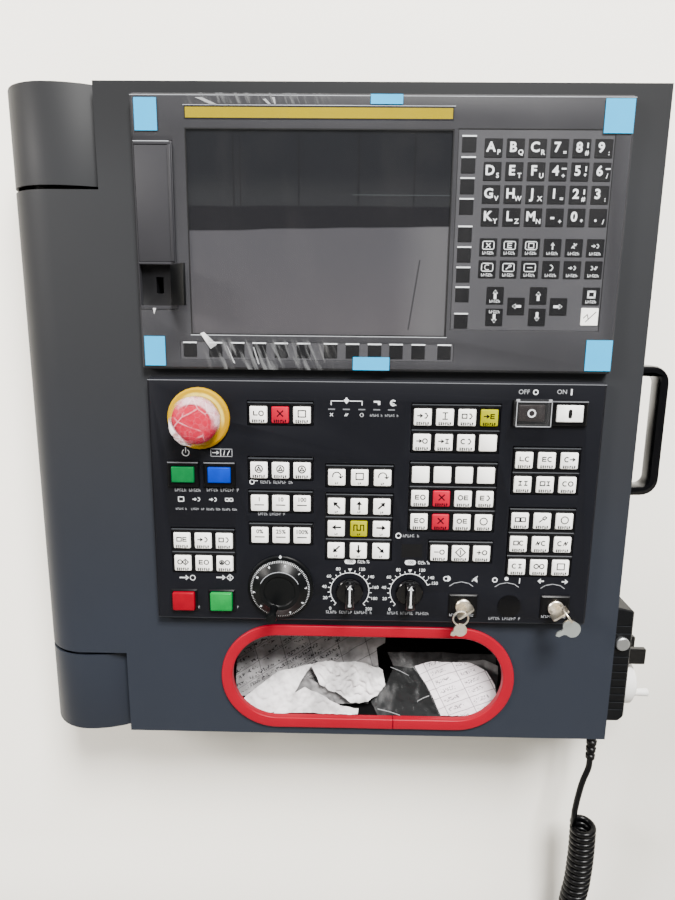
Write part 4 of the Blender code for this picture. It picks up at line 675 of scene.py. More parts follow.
# Plastics, paints, inks and painted highlights: finish, material, tone or setting, roughness, grain, its
# depth, spread of tone
MOULDED = (
    # The pocket's bin is near-black to stand for the shade inside the pocket.
    ("bin", "bin_black", (6, 6, 7), 0.6, 1300, 0.00004, 0.1),
    ("sheet", "key_sheet_film", "key_sheet", 0.42, 2600, 0.00001, 0.05),
    ("text_key", "text_key_black", (11, 11, 13), 0.38, 1800, 0.00001, 0.1),
    ("frame", "key_frame_black", (7, 7, 9), 0.32, 1500, 0.00002, 0.1),
    ("cap", "cap_white", "cap", 0.38, 1100, 0.00001, 0.02),
    ("cap_red", "cap_red", "cap_red", 0.35, 1100, 0.00001, 0.05),
    ("cap_yellow", "cap_yellow", "cap_yellow", 0.45, 1100, 0.00001, 0.04),
    ("white", "print_white", (200, 203, 206), 0.5, 1500, 0.00001, 0.06),
    # Grey for print, and for painted highlights on the plate's top edge and the button housings.
    ("faint", "print_grey", (96, 98, 102), 0.5, 1500, 0.00001, 0.1),
    # Soft white for the words, and for the painted highlights along the flip guard's edges.
    ("word", "print_soft_white", (140, 142, 146), 0.5, 1500, 0.00001, 0.1),
    # A dim grey painted highlight for the tops of the key bars, the plate's bottom edge and the pendant's
    # ribs.
    ("bar_top", "key_bar_top", (36, 38, 41), 0.4, 1500, 0.00001, 0.2),
    ("ink", "print_ink", (20, 20, 22), 0.5, 1500, 0.00001, 0.12),
    ("dark_ink", "print_black", (10, 10, 11), 0.5, 1500, 0.00001, 0.12),
    ("edge_light", "bright_edge", (150, 153, 158), 0.3, 1500, 0.00001, 0.15),
    ("satin", "satin_black", (7, 8, 9), 0.34, 1500, 0.00002, 0.15),
    ("rubber", "pendant_black", (6, 7, 9), 0.40, 1700, 0.00004, 0.12),
    ("cord", "cord_jacket", (5, 5, 6), 0.30, 900, 0.00002, 0.12),
    ("pale", "pale_plastic", (214, 213, 210), 0.4, 900, 0.00002, 0.06),
    ("trim", "red_trim", "trim", 0.36, 700, 0.00003, 0.05),
    ("tape", "blue_tape", "tape", 0.42, 600, 0.00003, 0.04),
    ("strip", "yellow_strip", "strip", 0.45, 900, 0.00001, 0.03),
)
# Two of these shine less than the rest
DULL = {"cap_yellow": 0.05, "strip": 0.03}


def make_finishes(colours):
    """Every finish of the station, by name."""
    made = {}
    for word, material, tone, roughness, grain, depth, spread in MOULDED:
        colour = getattr(colours, tone) if isinstance(tone, str) else paint(*tone)
        shine = DULL.get(word, PLAIN_SHINE)
        made[word] = moulded(material, colour, roughness, grain, depth, spread, specular_ior_level=shine)
    made["cover"] = cover_finish(colours.cover)
    made["plate"] = plate_finish(colours.plate)
    made["bezel"] = bezel_finish(colours.bezel)
    made["gloss"] = polished("gloss_black", paint(4, 4, 5), 0.12, 0.03, coat_weight=0.3)
    made["nickel"] = metal("nickel_plate", paint(230, 224, 212), 0.30, paint(206, 190, 158))
    made["tag"] = metal("key_plate", paint(206, 214, 214), 0.42)
    made["steel"] = metal("zinc_plate", paint(176, 178, 180), 0.40)
    made["bronze"] = metal("turned_bronze", paint(176, 140, 96), 0.35)
    made["go_lens"] = lens("green_lens", colours.go_lens)
    made["release_lens"] = lens("blue_lens", colours.release_lens)
    made["start_lens"] = lens("start_lens", paint(0, 118, 50))
    made["stop_lens"] = lens("stop_lens", paint(124, 0, 22))
    made["on_lens"] = lens("on_lens", paint(240, 240, 238))
    made["off_lens"] = lens("off_lens", paint(30, 26, 26))
    made["stop_ring"] = ring_finish(colours.stop_ring)
    made["stop_head"] = polished("stop_red", colours.stop_head, 0.30, 0.04)
    made["screen"] = screen_finish()
    made["film"] = film_finish("clear_film", 0.012, 0.0, 0.10, 0.28, True)
    made["glint"] = film_finish("film_glint", 0.20, 0.30, 0.30)
    made["wrap"] = wrap_finish()
    made["guard"] = film_finish("guard_plastic", 0.015, 0.03, 0.10, 0.40)
    made["bag"] = film_finish("bag_film", 0.020, 0.10, 0.12, 0.40)
    made["paper"] = paper_finish("written_paper", 0.46, True)
    made["bag_paper"] = paper_finish("bagged_paper", 0.80)
    # Painted shade: darker copies of the paper for sheets deep in the pocket and in its folds.
    made["dim_paper"] = paper_finish("dim_paper", 0.07)
    made["fold_paper"] = paper_finish("fold_paper", 0.26)
    made["form"] = form_finish()
    return made


def cover_finish(colour):
    """Slate paint, with painted shade: a little bluer towards the floor and darker near the top."""
    finish = Finish("slate_paint", colour, 0.5)
    slow = finish.noise(11, 4)
    fine = finish.noise(1300, 3)
    z = finish.axes()[2]
    # Painted shade: the paint turns bluer towards the floor.
    painted_cool_shade = tuple(part * share for part, share in zip(colour, (0.80, 0.93, 1.22)))
    tone = finish.mix(z.eased(-0.24, 0.12), painted_cool_shade, colour)
    # Painted shade: the paint turns darker near the top.
    tone = finish.mix(z.eased(0.20, 0.29) * 0.6, tone, shade(colour, 0.4))
    tone = finish.mix(slow.eased(0.3, 0.7) * 0.12, tone, shade(colour, 0.5))
    finish.set("Base Color", finish.mix(fine.eased(0.62, 0.85) * 0.15, tone, shade(colour, 1.8)))
    finish.set("Roughness", slow * 0.14 + 0.43)
    finish.bump(fine, 0.00005, 0.5)
    return finish


def plate_finish(colour):
    """Navy satin, and black on what stands proud of the plate."""
    finish = Finish("navy_satin", colour, 0.5)
    y = finish.axes()[1]
    proud = y < -0.11925
    slow = finish.noise(9, 4)
    fine = finish.noise(1700, 3)
    face = finish.mix(slow.eased(0.3, 0.7), shade(colour, 0.92), shade(colour, 1.1))
    finish.set("Base Color", finish.mix(proud, face, paint(5, 5, 6)))
    finish.set("Roughness", slow * 0.12 + 0.42 - proud * 0.14)
    finish.bump(fine, 0.00002, 0.5)
    return finish


def bezel_finish(colour):
    """Dark grey moulding, darker within the bay of the two doors."""
    finish = Finish("bezel_plastic", colour, 0.45)
    x, y, z = finish.axes()
    bay = (y > -0.1183) * x.within(0.0755, 0.1066) * z.within(0.112, 0.246)
    slow = finish.noise(14, 4)
    tone = finish.mix(slow.eased(0.3, 0.7), shade(colour, 0.94), shade(colour, 1.06))
    tone = finish.mix(finish.noise(2200, 3).eased(0.62, 0.85) * 0.25, tone, shade(colour, 1.6))
    finish.set("Base Color", finish.mix(bay, tone, paint(9, 9, 11)))
    finish.set("Roughness", slow * 0.14 + 0.38)
    finish.bump(finish.noise(2200, 3), 0.00002, 0.6)
    return finish


def ring_finish(colour):
    """The yellow collar of the stop button, with a painted pale sheen over its upper right and painted shade
    towards its lower right.
    """
    finish = Finish("stop_yellow", colour, 0.30, specular_ior_level=0.05)
    x, _, z = finish.axes()
    across, up = x - STOP[0], z - STOP[1]
    out = finish.maths("SQRT", across * across + up * up)
    # Painted sheen: a pale band over the collar's upper right.
    pale = out.eased(0.0195, 0.0205) * (1 - out.eased(0.0218, 0.0236))
    pale = pale * (up * 0.8 + across * 0.6).eased(0.004, 0.014)
    pale = pale * (finish.noise(120, 3).eased(0.25, 0.6) * 0.6 + 0.4)
    # Painted shade: a deeper, darker yellow towards the lower right.
    deep = (across * 0.9 - up * 0.5).eased(0.010, 0.024)
    tone = finish.mix(deep * 0.5, colour, (colour[0] * 0.95, colour[1] * 0.72, 0.0))
    finish.set("Base Color", finish.mix(pale * 0.7, tone, paint(232, 214, 110)))
    finish.set("Roughness", finish.noise(45, 4) * 0.14 + 0.25)
    finish.bump(finish.noise(120, 2), 0.00003, 0.3)
    return finish


def lens(name, colour):
    """A coloured lens with fine ribs behind its face."""
    finish = Finish(name, colour, 0.32, coat_weight=0.02, specular_ior_level=0.06)
    x, _, z = finish.axes()
    ribs = finish.maths("SINE", (x + z) * 5200) * finish.maths("SINE", (x - z) * 5200)
    cloud = finish.noise(90, 3).eased(0.3, 0.7)
    finish.set("Base Color", finish.mix(cloud, shade(colour, 0.88), shade(colour, 1.06)))
    finish.set("Roughness", finish.noise(70, 3) * 0.14 + 0.22)
    finish.bump(ribs, 0.00002, 0.25)
    return finish


def screen_finish():
    """The dark screen, switched off: soft painted reflections of a hall in it, and fine dust."""
    finish = Finish("dark_screen", paint(30, 31, 33), 0.12)
    x, _, z = finish.axes()
    # Painted reflections of the hall: a pale lower part with darker clouds and a lighter right side, a dark
    # band and darker glass above it, dark posts, a pale rail and a dark pole.
    wave = finish.noise(9, 2, finish.stretched(1.0, 1.0, 0.3)) * 0.006
    top = (z + wave).eased(0.1995, 0.2010)
    band = (z + wave - x * 0.02).eased(0.1775, 0.1790)
    low = finish.mix(z.eased(0.095, 0.172), paint(66, 64, 67), paint(58, 58, 62))
    cloud = finish.noise(7, 2, finish.stretched(1, 1, 0.5)).eased(0.42, 0.6)
    low = finish.mix(cloud * 0.5, low, paint(48, 47, 50))
    right = x.eased(0.285, 0.322)
    low = finish.mix(right * 0.6, low, paint(74, 74, 76))
    tone = finish.mix(band, low, paint(17, 17, 20))
    high = finish.mix(z.eased(0.2, 0.225), paint(27, 28, 30), paint(18, 19, 22))
    tone = finish.mix(top, tone, high)
    reflected_posts = ((0.1555, 0.0007), (0.161, 0.0005), (0.2085, 0.0007), (0.257, 0.0009), (0.302, 0.0007))
    for place, width in reflected_posts:
        reflected_post = x.within(place - width, place + width) * top
        tone = finish.mix(reflected_post * 0.6, tone, paint(11, 11, 13))
    reflected_rail = z.within(0.2052, 0.2058) * x.within(0.252, 0.332)
    tone = finish.mix(reflected_rail * 0.45, tone, paint(62, 66, 68))
    reflected_pole = (x - z * 0.14).within(0.2862, 0.2876) * z.within(0.098, 0.155)
    tone = finish.mix(reflected_pole * 0.6, tone, paint(20, 19, 22))
    dust = finish.noise(1500, 2).eased(0.68, 0.8) * 0.15
    finish.set("Base Color", finish.mix(dust, tone, paint(80, 80, 82)))
    finish.set("Roughness", finish.noise(30, 3) * 0.1 + 0.08)
    return finish


def film_finish(name, seen, folds, roughness, light=0.95, streaked=False):
    """Thin clear plastic: little to see but its gloss and its edges, with painted highlights along its folds
    and some painted pale streaks.
    """
    bright = (light, light, light)
    finish = Finish(name, bright, roughness)
    # Painted highlights: pale crinkles where the plastic folds.
    crease_glints = finish.noise(38, 3, finish.stretched(1.0, 1.0, 0.35)).eased(0.5, 0.68)
    rim = finish.node("ShaderNodeLayerWeight", None, {"Blend": 0.2}, "Facing")
    finish.set("Base Color", finish.mix(crease_glints, (light * 0.7, light * 0.72, light * 0.74), bright))
    finish.set("Roughness", crease_glints * 0.12 + roughness)
    finish.bump(finish.noise(60, 3), 0.0002, 0.25)
    # Painted highlights: pale slanted streaks near the film's lower and upper edges.
    if streaked:
        x, _, z = finish.axes()
        slanted = finish.node("ShaderNodeCombineXYZ", None, {0: (x + z * 0.4) * 260, 2: z * 40})
        low = (1 - z.eased(0.0835, 0.0915)) * x.eased(0.122, 0.148) * (1 - x.eased(0.205, 0.255))
        high = z.eased(0.2722, 0.2735) * x.eased(0.115, 0.135) * (1 - x.eased(0.20, 0.25))
        crease_glints, folds = finish.noise(1.0, 3, slanted).eased(0.46, 0.72) * (low + high), 0.34
    finish.see_through(rim * (light * 0.12) + crease_glints * folds + seen)
    return finish


def wrap_finish():
    """The clear wrap of the stop button: painted highlights along its crinkles, a painted pale band of sheen,
    and white where it gathers below.
    """
    clear = (0.95, 0.91, 0.92)
    finish = Finish("crinkled_wrap", clear, 0.25)
    x, _, z = finish.axes()
    across, up = x - STOP[0], z - STOP[1]
    out = finish.maths("SQRT", across * across + up * up)
    edge = finish.cell_edges(58)
    fine = finish.cell_edges(210)
    patches = finish.noise(60, 3).eased(0.45, 0.62)
    # Painted highlights along the wrap's crinkles.
    crease_glints = (1 - edge.eased(0.0, 0.04)) * 0.22 * patches + (1 - fine.eased(0.0, 0.06)) * 0.045
    # Painted sheen: a pale band round the upper right of the head.
    band = out.eased(0.0146, 0.0168) * (up * 0.85 + across * 0.5).eased(0.001, 0.010)
    band = band * (finish.noise(100, 3).eased(0.35, 0.6) * 0.26 + 0.10)
    gather = (across * -0.80 - up * 0.60).eased(0.0145, 0.0172)
    gather = gather * (finish.noise(160, 3).eased(0.4, 0.55) * 0.7 + 0.2)
    finish.set("Base Color", finish.mix(gather + band, (0.80, 0.50, 0.55), clear))
    finish.bump(edge * 0.6 + fine * 0.4, 0.0007, 0.6)
    finish.see_through(finish.maths("MINIMUM", crease_glints + band + gather + 0.008, 0.95))
    return finish


def paper_finish(name, light, written=False):
    """Handled paper with soft folds, and slanted pen lines and a painted shadow where it is written on."""
    white = shade(paint(236, 233, 234), light)
    finish = Finish(name, white, 0.75)
    x, _, z = finish.axes()
    tone = finish.mix(finish.noise(48, 5).eased(0.38, 0.62), shade(white, 0.55), white)
    if written:
        # A painted shadow over the upper right of the written sheet.
        darker = x.eased(0.205, 0.235) * z.eased(-0.232, -0.218)
        tone = finish.mix(darker * 0.55, tone, shade(white, 0.42))
        slant = z - x * 0.62
        row = finish.maths("FRACT", slant * 128)
        words = row.within(0.2, 0.75) * finish.noise(620, 3).eased(0.51, 0.56)
        gaps = finish.noise(60, 1, finish.stretched(1, 1, 2.2)).eased(0.42, 0.47) * (x < 0.246)
        tone = finish.mix(words * gaps * 0.9, tone, paint(26, 26, 30))
        ruled = finish.maths("FRACT", slant * 64).within(0.0, 0.05)
        ruled = ruled + finish.maths("FRACT", (x + z * 0.3) * 34).within(0, 0.03)
        tone = finish.mix(ruled * 0.6, tone, paint(52, 52, 56))
    finish.set("Base Color", tone)
    finish.set("Roughness", finish.noise(80, 2) * 0.1 + 0.7)
    finish.bump(finish.noise(45, 5), 0.0018 if written else 0.004, 0.8)
    return finish


def form_finish():
    """A ruled form: slanted rows, columns and small marks in them."""
    white = paint(236, 227, 232)
    finish = Finish("form_paper", white, 0.6)
    x, _, z = finish.axes()
    across = x * 0.873 + z * 0.486
    up = z * 0.953 - x * 0.302
    rows = finish.maths("FRACT", up * 118).within(0.0, 0.07)
    columns = finish.maths("FRACT", across * 39 + 0.2).within(0.0, 0.03)
    marks = finish.maths("FRACT", up * 118).within(0.35, 0.75) * finish.noise(720, 2).eased(0.52, 0.57)
    marks = marks * finish.maths("FRACT", across * 39 + 0.2).within(0.1, 0.7)
    tone = finish.mix(finish.noise(26, 3).eased(0.35, 0.7), shade(white, 0.84), white)
    tone = finish.mix(finish.maths("MAXIMUM", rows, columns) * 0.75, tone, paint(60, 54, 62))
    finish.set("Base Color", finish.mix(marks * 0.8, tone, paint(38, 34, 44)))
    finish.set("Roughness", finish.noise(80, 2) * 0.1 + 0.5)
    finish.bump(finish.noise(70, 3), 0.0006, 0.5)
    return finish


FINISHES = {}


def finish_of(name):
    """A finish by name; all of them are made on the first call."""
    if not FINISHES:
        FINISHES.update(make_finishes(bpy.context.scene.station_colours))
    return FINISHES[name]


class StationStage(bpy.types.Operator):
    """Makes the camera, the light, and the cream sheet and floor behind the station"""

    bl_idname = "station.stage"
    bl_label = "Stage"

    def execute(self, context):
        data = bpy.data.cameras.new("photo_camera")
        data.lens = 26.2
        data.sensor_width = 36
        data.clip_start = 0.01
        camera = bpy.data.objects.new("photo_camera", data)
        context.scene.collection.objects.link(camera)
        camera.matrix_world = Matrix((
            (0.99979, -0.013597, 0.015368, 0.251),
            (0.017826, 0.204619, -0.978679, -0.6807),
            (0.010163, 0.978746, 0.204818, 0.1115),
            (0, 0, 0, 1),
        ))
        context.scene.camera = camera
        self.light(context, "key_light", (1.05, -2.3, 2.65), 1.15, 500, (1.0, 0.985, 0.96))
        self.light(context, "left_strip", (-1.6, -1.3, 0.9), 0.5, 60, (1.0, 0.95, 0.90))
        self.world(context)
        self.backdrop(context)
        return {"FINISHED"}

    def light(self, context, name, place, size, power, colour):
        data = bpy.data.lights.new(name, "AREA")
        data.size = size
        data.energy = power
        data.color = colour
        lamp = bpy.data.objects.new(name, data)
        context.scene.collection.objects.link(lamp)
        lamp.location = place
        aim = Vector((0.27, -0.1, 0.0)) - Vector(place)
        lamp.rotation_euler = aim.to_track_quat("-Z", "Y").to_euler()

    def world(self, context):
        """A bright hall from above and below, with a darker band over eye height."""
        world = bpy.data.worlds.new("hall")
        context.scene.world = world
        world.use_nodes = True
        tree = world.node_tree
        place = tree.nodes.new("ShaderNodeTexCoord")
        split = tree.nodes.new("ShaderNodeSeparateXYZ")
        ramp = tree.nodes.new("ShaderNodeValToRGB")
        tree.links.new(place.outputs["Generated"], split.inputs[0])
        spread = tree.nodes.new("ShaderNodeMapRange")
        spread.inputs["From Min"].default_value = -1.0
        tree.links.new(split.outputs["Z"], spread.inputs["Value"])
        tree.links.new(spread.outputs["Result"], ramp.inputs["Fac"])
        stops = (
            (0.0, 0.55), (0.25, 0.30), (0.5, 0.26), (0.56, 0.16),
            (0.62, 0.14), (0.70, 0.20), (0.78, 1.1), (1.0, 1.5),
        )
        marks = ramp.color_ramp.elements
        while len(marks) < len(stops):
            marks.new(0.5)
        for mark, (spot, light) in zip(marks, stops):
            mark.position = spot
            mark.color = (light, light, light * 1.01, 1)
        back = tree.nodes["Background"]
        tree.links.new(ramp.outputs["Color"], back.inputs["Color"])
        back.inputs["Strength"].default_value = 1.0

    def backdrop(self, context):
        """The cream sheet that the bracket is bolted to, curving out into a pale floor."""
        build = Build()
        reach, floor, bend = 2.4, -0.765, 0.25
        line = [(0.0015, 1.7), (0.0015, floor + bend)]
        for i in range(1, 13):
            angle = math.radians(90 * i / 12)
            line.append((0.0015 - bend * (1 - math.cos(angle)), floor + bend - bend * math.sin(angle)))
        line.append((-2.6, floor))
        verts = [[build.bm.verts.new((x, y, z)) for y, z in line] for x in (-reach, reach)]
        for i in range(len(line) - 1):
            build.bm.faces.new((verts[0][i], verts[0][i + 1], verts[1][i + 1], verts[1][i])).smooth = True
        mesh = build.mesh("backdrop")
        finish = Finish("cream_sheet", context.scene.station_colours.guard, 0.45)
        tone = finish.noise(3, 3).eased(0.3, 0.7)
        colour = tuple(context.scene.station_colours.guard)
        wall = finish.mix(tone, shade(colour, 0.97), colour)
        x, _, z = finish.axes()
        # Painted shade: the wall darkens towards its lower right.
        wall = finish.mix(x.eased(0.25, 0.7) * (1 - z.eased(-0.35, -0.05)) * 0.5, wall, shade(colour, 0.45))
        rise = z.eased(floor + 0.02, floor + bend)
        finish.set("Base Color", finish.mix(rise, shade(colour, 0.20), wall))
        finish.bump(finish.noise(700, 2), 0.00004, 0.4)
        facing = finish.node("ShaderNodeNewGeometry", out="Backfacing")
        finish.see_through(1 - facing)
        mesh.materials.append(finish.material)
        backdrop = bpy.data.objects.new("backdrop", mesh)
        context.scene.collection.objects.link(backdrop)


class StationCord(bpy.types.Operator):
    """Winds the pendant's curly cord from its strain relief to its connector"""

    bl_idname = "station.cord"
    bl_label = "Cord"

    def execute(self, context):
        sizes = context.scene.station_sizes
        line = smooth_line(LEAD_ROUTE, 8)
        axis = smooth_line(COIL_ROUTE, 40)
        lengths = [0.0]
        for a, b in zip(axis, axis[1:]):
            lengths.append(lengths[-1] + (b - a).length)
        lead = 0.002
        top, bottom = lead, lengths[-1] - lead
        turns = (bottom - top) / sizes.coil_pitch
        per_turn = 22
        total = int(turns * per_turn)
        join = 14
        for i in range(total + 1):
            along = top + (bottom - top) * i / total
            spot = self.at(axis, lengths, along)
            angle = math.pi - 2 * math.pi * i / per_turn
            left = total - i
            radius = sizes.coil_radius * (min(1.0, left / join) if left < join else 1.0)
            line.append(spot + Vector((radius * math.cos(angle), radius * math.sin(angle), 0)))
        line.append(Vector(COIL_ROUTE[-1]))
        curve = bpy.data.curves.new("pendant_cord", "CURVE")
        curve.dimensions = "3D"
        curve.bevel_depth = sizes.cord_diameter / 2
        curve.bevel_resolution = 3
        curve.use_fill_caps = True
        spline = curve.splines.new("POLY")
        spline.points.add(len(line) - 1)
        for point, spot in zip(spline.points, line):
            point.co = (*spot, 1)
        spline.use_smooth = True
        cord = bpy.data.objects.new("pendant_cord", curve)
        context.scene.collection.objects.link(cord)
        curve.materials.append(finish_of("cord").material)
        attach(cord, body_of("cord_coil"))
        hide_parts("cord_lead", "cord_coil")
        length = sum((b - a).length for a, b in zip(line, line[1:]))
        connector = dressed("cord_connector", "nickel", smooth=30)
        return {"FINISHED"}

    def at(self, axis, lengths, along):
        """The point of the axis at a length along it."""
        for i in range(1, len(lengths)):
            if lengths[i] >= along:
                share = (along - lengths[i - 1]) / max(1e-9, lengths[i] - lengths[i - 1])
                return axis[i - 1].lerp(axis[i], share)
        return axis[-1]


def smooth_line(points, steps):
    """A smooth line through points, with a number of steps between each two."""
    spots = [Vector(p) for p in points]
    line = [spots[0]]
    for i in range(len(spots) - 1):
        a, b = spots[max(0, i - 1)], spots[i]
        c, d = spots[i + 1], spots[min(len(spots) - 1, i + 2)]
        for k in range(1, steps + 1):
            t = k / steps
            square, cube = 2 * a - 5 * b + 4 * c - d, 3 * b - a - 3 * c + d
            line.append(0.5 * (2 * b + (c - a) * t + square * t**2 + cube * t**3))
    return line


class StationShell(bpy.types.Operator):
    """Dresses the hinge side, the painted sheets, the handle and the pocket"""

    bl_idname = "station.shell"
    bl_label = "Shell"

    def execute(self, context):
        for node in ("front_cover", "upper_hinge_cover", "lower_hinge_cover", "panel_frame", "rear_cover"):
            dressed(node, "cover")
        dressed("pocket_bin", "bin")
        dressed("hinge_bracket", "cover")
        for kind, finish in (("hinge_pin", "steel"), ("bush", "bronze")):
            for end in ("upper", "lower"):
                dressed(end + "_" + kind, finish)
        for node in ("display_chassis", "operator_chassis"):
            painted_solid(node, "steel")
        dressed("side_handle", "gloss", smooth=40)
        self.trim()
        return {"FINISHED"}

    def trim(self):
        """The pocket's soft trim: a clasp carried round the opening, its ends meeting below."""
        middle_x, middle_z, straight, radius = 0.27275, -0.2302, 0.0860, 0.0430
        wide, wall, edge, gap, sheet = 0.0108, 0.0015, 0.0014, 0.0003, 0.002
        face, back = PANEL_FACE - gap - 0.003, PANEL_FACE + sheet + gap + wall
        turns = [math.pi / 2 * i / 4 for i in range(5)]
        section = [(edge - edge * math.cos(a), face + edge - edge * math.sin(a)) for a in turns]
        section += [(wide - edge + edge * math.sin(a), face + edge - edge * math.cos(a)) for a in turns]
        section += [(wide, PANEL_FACE - gap), (wall, PANEL_FACE - gap), (wall, PANEL_FACE + sheet + gap)]
        section += [(wide, PANEL_FACE + sheet + gap), (wide, back), (0, back)]
        joint, half_gap = 0.0257, 0.00035
        spots = [(joint + half_gap, -90)]
        for i in range(1, 20):
            spots.append((joint + (straight - joint) * i / 20, -90))
        spots += [(straight, -90 + 180 * i / 48) for i in range(49)]
        spots += [(straight - 2 * straight * i / 30, 90) for i in range(1, 30)]
        spots += [(-straight, 90 + 180 * i / 48) for i in range(49)]
        for i in range(1, 30):
            spots.append((-straight + (straight + joint) * i / 30, -90))
        spots.append((joint - half_gap, -90))
        rings = []
        for along, degrees in spots:
            angle = math.radians(degrees)
            place = Vector((along * 26, math.sin(angle) * 1.7, math.cos(angle) * 1.7))
            slack = 0.00022 * (1 + noise.noise(place))
            sag = 0.00020 * (1 + noise.noise(place + Vector((0, 0, 5))))
            ring = []
            for offset, y in section:
                reach = radius + offset - (slack if offset > wall + 0.0001 else 0.0)
                x, z = middle_x + along + reach * math.cos(angle), middle_z + reach * math.sin(angle)
                ring.append((x, y + (sag if y < PANEL_FACE - 0.001 else 0.0), z))
            rings.append(ring)
        build = Build()
        build.skin(rings)
        body = body_of("pocket_trim")
        build.piece("pocket_trim_skin", "trim", body, "trim_rubber", ["pocket_trim"], 38)


class StationDisplay(bpy.types.Operator):
    """Dresses the display unit: moulding, screen, bare strip, doors and film"""

    bl_idname = "station.display"
    bl_label = "Display unit"

    def execute(self, context):
        for node in ("display_bezel", "port_block", "card_door", "usb_door"):
            dressed(node, "satin" if node == "usb_door" else "bezel", 0.0003)
        dressed("display_glass", "screen")
        self.strip()
        self.seams()
        self.film(context.scene.station_sizes.film_wave)
        self.tabs()
        self.glints()
        return {"FINISHED"}

    def strip(self):
        """The bare strip over the screen, with its dark edge and a painted highlight line above it."""
        build = Build()
        build.box((0.1175, FACE - 0.0003, 0.2614), (0.3315, FACE + 0.0002, 0.2712), 1)
        build.box((0.1183, FACE - 0.0004, 0.2624), (0.3305, FACE, 0.2702), 0)
        # A painted highlight: the bright line above the strip.
        build.box((0.1165, FACE - 0.0004, 0.2715), (0.3325, FACE, 0.2720), 2)
        build.piece("strip_plate", ["strip", "dark_ink", "edge_light"], "panel", "bezel_plastic")

    def seams(self):
        """Fine dark lines round the screen, the key sheet and the soft keys, and bright lines that are
        painted highlights on edges.
        """
        build = Build()
        front, back = PRINTED
        left, right, bottom, top = SCREEN
        corners = [(left, bottom), (right, bottom), (right, top), (left, top)]
        build.stroke(corners, 0.0009, front, back, 0, True)
        # Painted highlights: bright lines under the screen, over the door bay and along the top of the unit.
        under = bottom - 0.0009
        build.stroke([(left - 0.0008, under), (right + 0.001, under)], 0.0006, front, back, 1)
        left, right, bottom, top = KEYPAD
        build.stroke([(left, bottom), (left, top), (right, top), (right, bottom)], 0.0005, front, back, 0)
        build.stroke([(0.0755, 0.2450), (0.1040, 0.2450)], 0.0006, front, back, 1)
        build.stroke([(0.0745, 0.2790), (0.4735, 0.2790)], 0.0005, front, back, 1)
        build.piece("display_seams", ["dark_ink", "edge_light"], "panel", "bezel_plastic")

    def film(self, wave):
        """The clear film, a little wavy, with a cut-out round the open door."""
        low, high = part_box("protective_film")
        left, right, bottom, top = low.x, high.x, low.z, high.z
        columns, rows = 60, 34
        lift, thickness = 0.00055, 0.0002
        build = Build()
        sides = []
        for deep in (0.0, thickness):
            grid = []
            for i in range(columns + 1):
                line = []
                for j in range(rows + 1):
                    x = left + (right - left) * i / columns
                    z = bottom + (top - bottom) * j / rows
                    ripple = noise.noise(Vector((x * 22, z * 9, 3.1)))
                    ripple += 0.5 * noise.noise(Vector((x * 60, z * 24, 8.3)))
                    y = FACE - lift - wave * (0.5 + 0.5 * max(-1.0, min(1.0, ripple * 1.6)))
                    line.append(build.bm.verts.new((x, y + deep, z)))
                grid.append(line)
            sides.append(grid)

        def kept(i, j):
            x = left + (right - left) * (i + 0.5) / columns
            z = bottom + (top - bottom) * (j + 0.5) / rows
            return not (x < 0.107 and 0.113 < z < 0.246)

        cells = {(i, j) for i in range(columns) for j in range(rows) if kept(i, j)}
        front, back = sides
        for i, j in cells:
            ring = [(i, j), (i + 1, j), (i + 1, j + 1), (i, j + 1)]
            build.bm.faces.new([front[a][b] for a, b in ring])
            build.bm.faces.new([back[a][b] for a, b in reversed(ring)])
            for k, (di, dj) in enumerate(((0, -1), (1, 0), (0, 1), (-1, 0))):
                if (i + di, j + dj) not in cells:
                    (a, b), (c, d) = ring[k], ring[(k + 1) % 4]
                    build.bm.faces.new((front[a][b], back[a][b], back[c][d], front[c][d]))
        loose = [v for v in build.bm.verts if not v.link_faces]
        bmesh.ops.delete(build.bm, geom=loose, context="VERTS")
        build.piece("film_sheet", "film", "panel", "clear_film", ["protective_film"], 60)

    def tabs(self):
        """The blue pull tabs of the film."""
        build = Build()
        for left, right, bottom, top in (
            (0.0777, 0.0957, 0.2525, 0.2768), (0.4496, 0.4726, 0.2525, 0.2778),
            (0.0772, 0.0946, 0.0660, 0.0907), (0.4506, 0.4724, 0.0655, 0.0912),
            (0.2656, 0.2909, 0.2728, 0.2800), (0.2545, 0.2854, 0.0640, 0.0750),
        ):
            build.box((left, FACE - 0.0010, bottom), (right, FACE - 0.0007, top))
        build.piece("film_tabs", "tape", "panel", "clear_film")

    def glints(self):
        """Painted highlights on the sharpest folds of the film, as pale slivers; outlines in millimetres."""
        build = Build()
        for outline in (
            [(126.8, 277.0), (132.0, 277.1), (143.9, 272.0), (138.0, 272.3)],
            [(180.2, 276.0), (182.7, 276.3), (186.8, 272.3), (184.6, 272.2)],
            [(187.6, 277.4), (189.8, 277.4), (190.5, 272.5), (189.5, 272.5)],
            [(125.0, 93.3), (128.0, 94.6), (139.0, 84.2), (133.5, 80.5)],
            [(147.0, 84.0), (148.2, 82.3), (154.2, 68.5), (152.6, 68.9)],
            [(169.3, 82.5), (170.5, 82.5), (175.0, 68.0), (173.6, 68.1)],
            [(85.7, 114.0), (88.4, 114.0), (86.5, 108.8)],
        ):
            outline = [(x / 1000, z / 1000) for x, z in outline]
            build.prism(forward(outline), FACE - 0.00095, FACE - 0.0008)
        build.piece("film_glints", "glint", "panel", "clear_film")


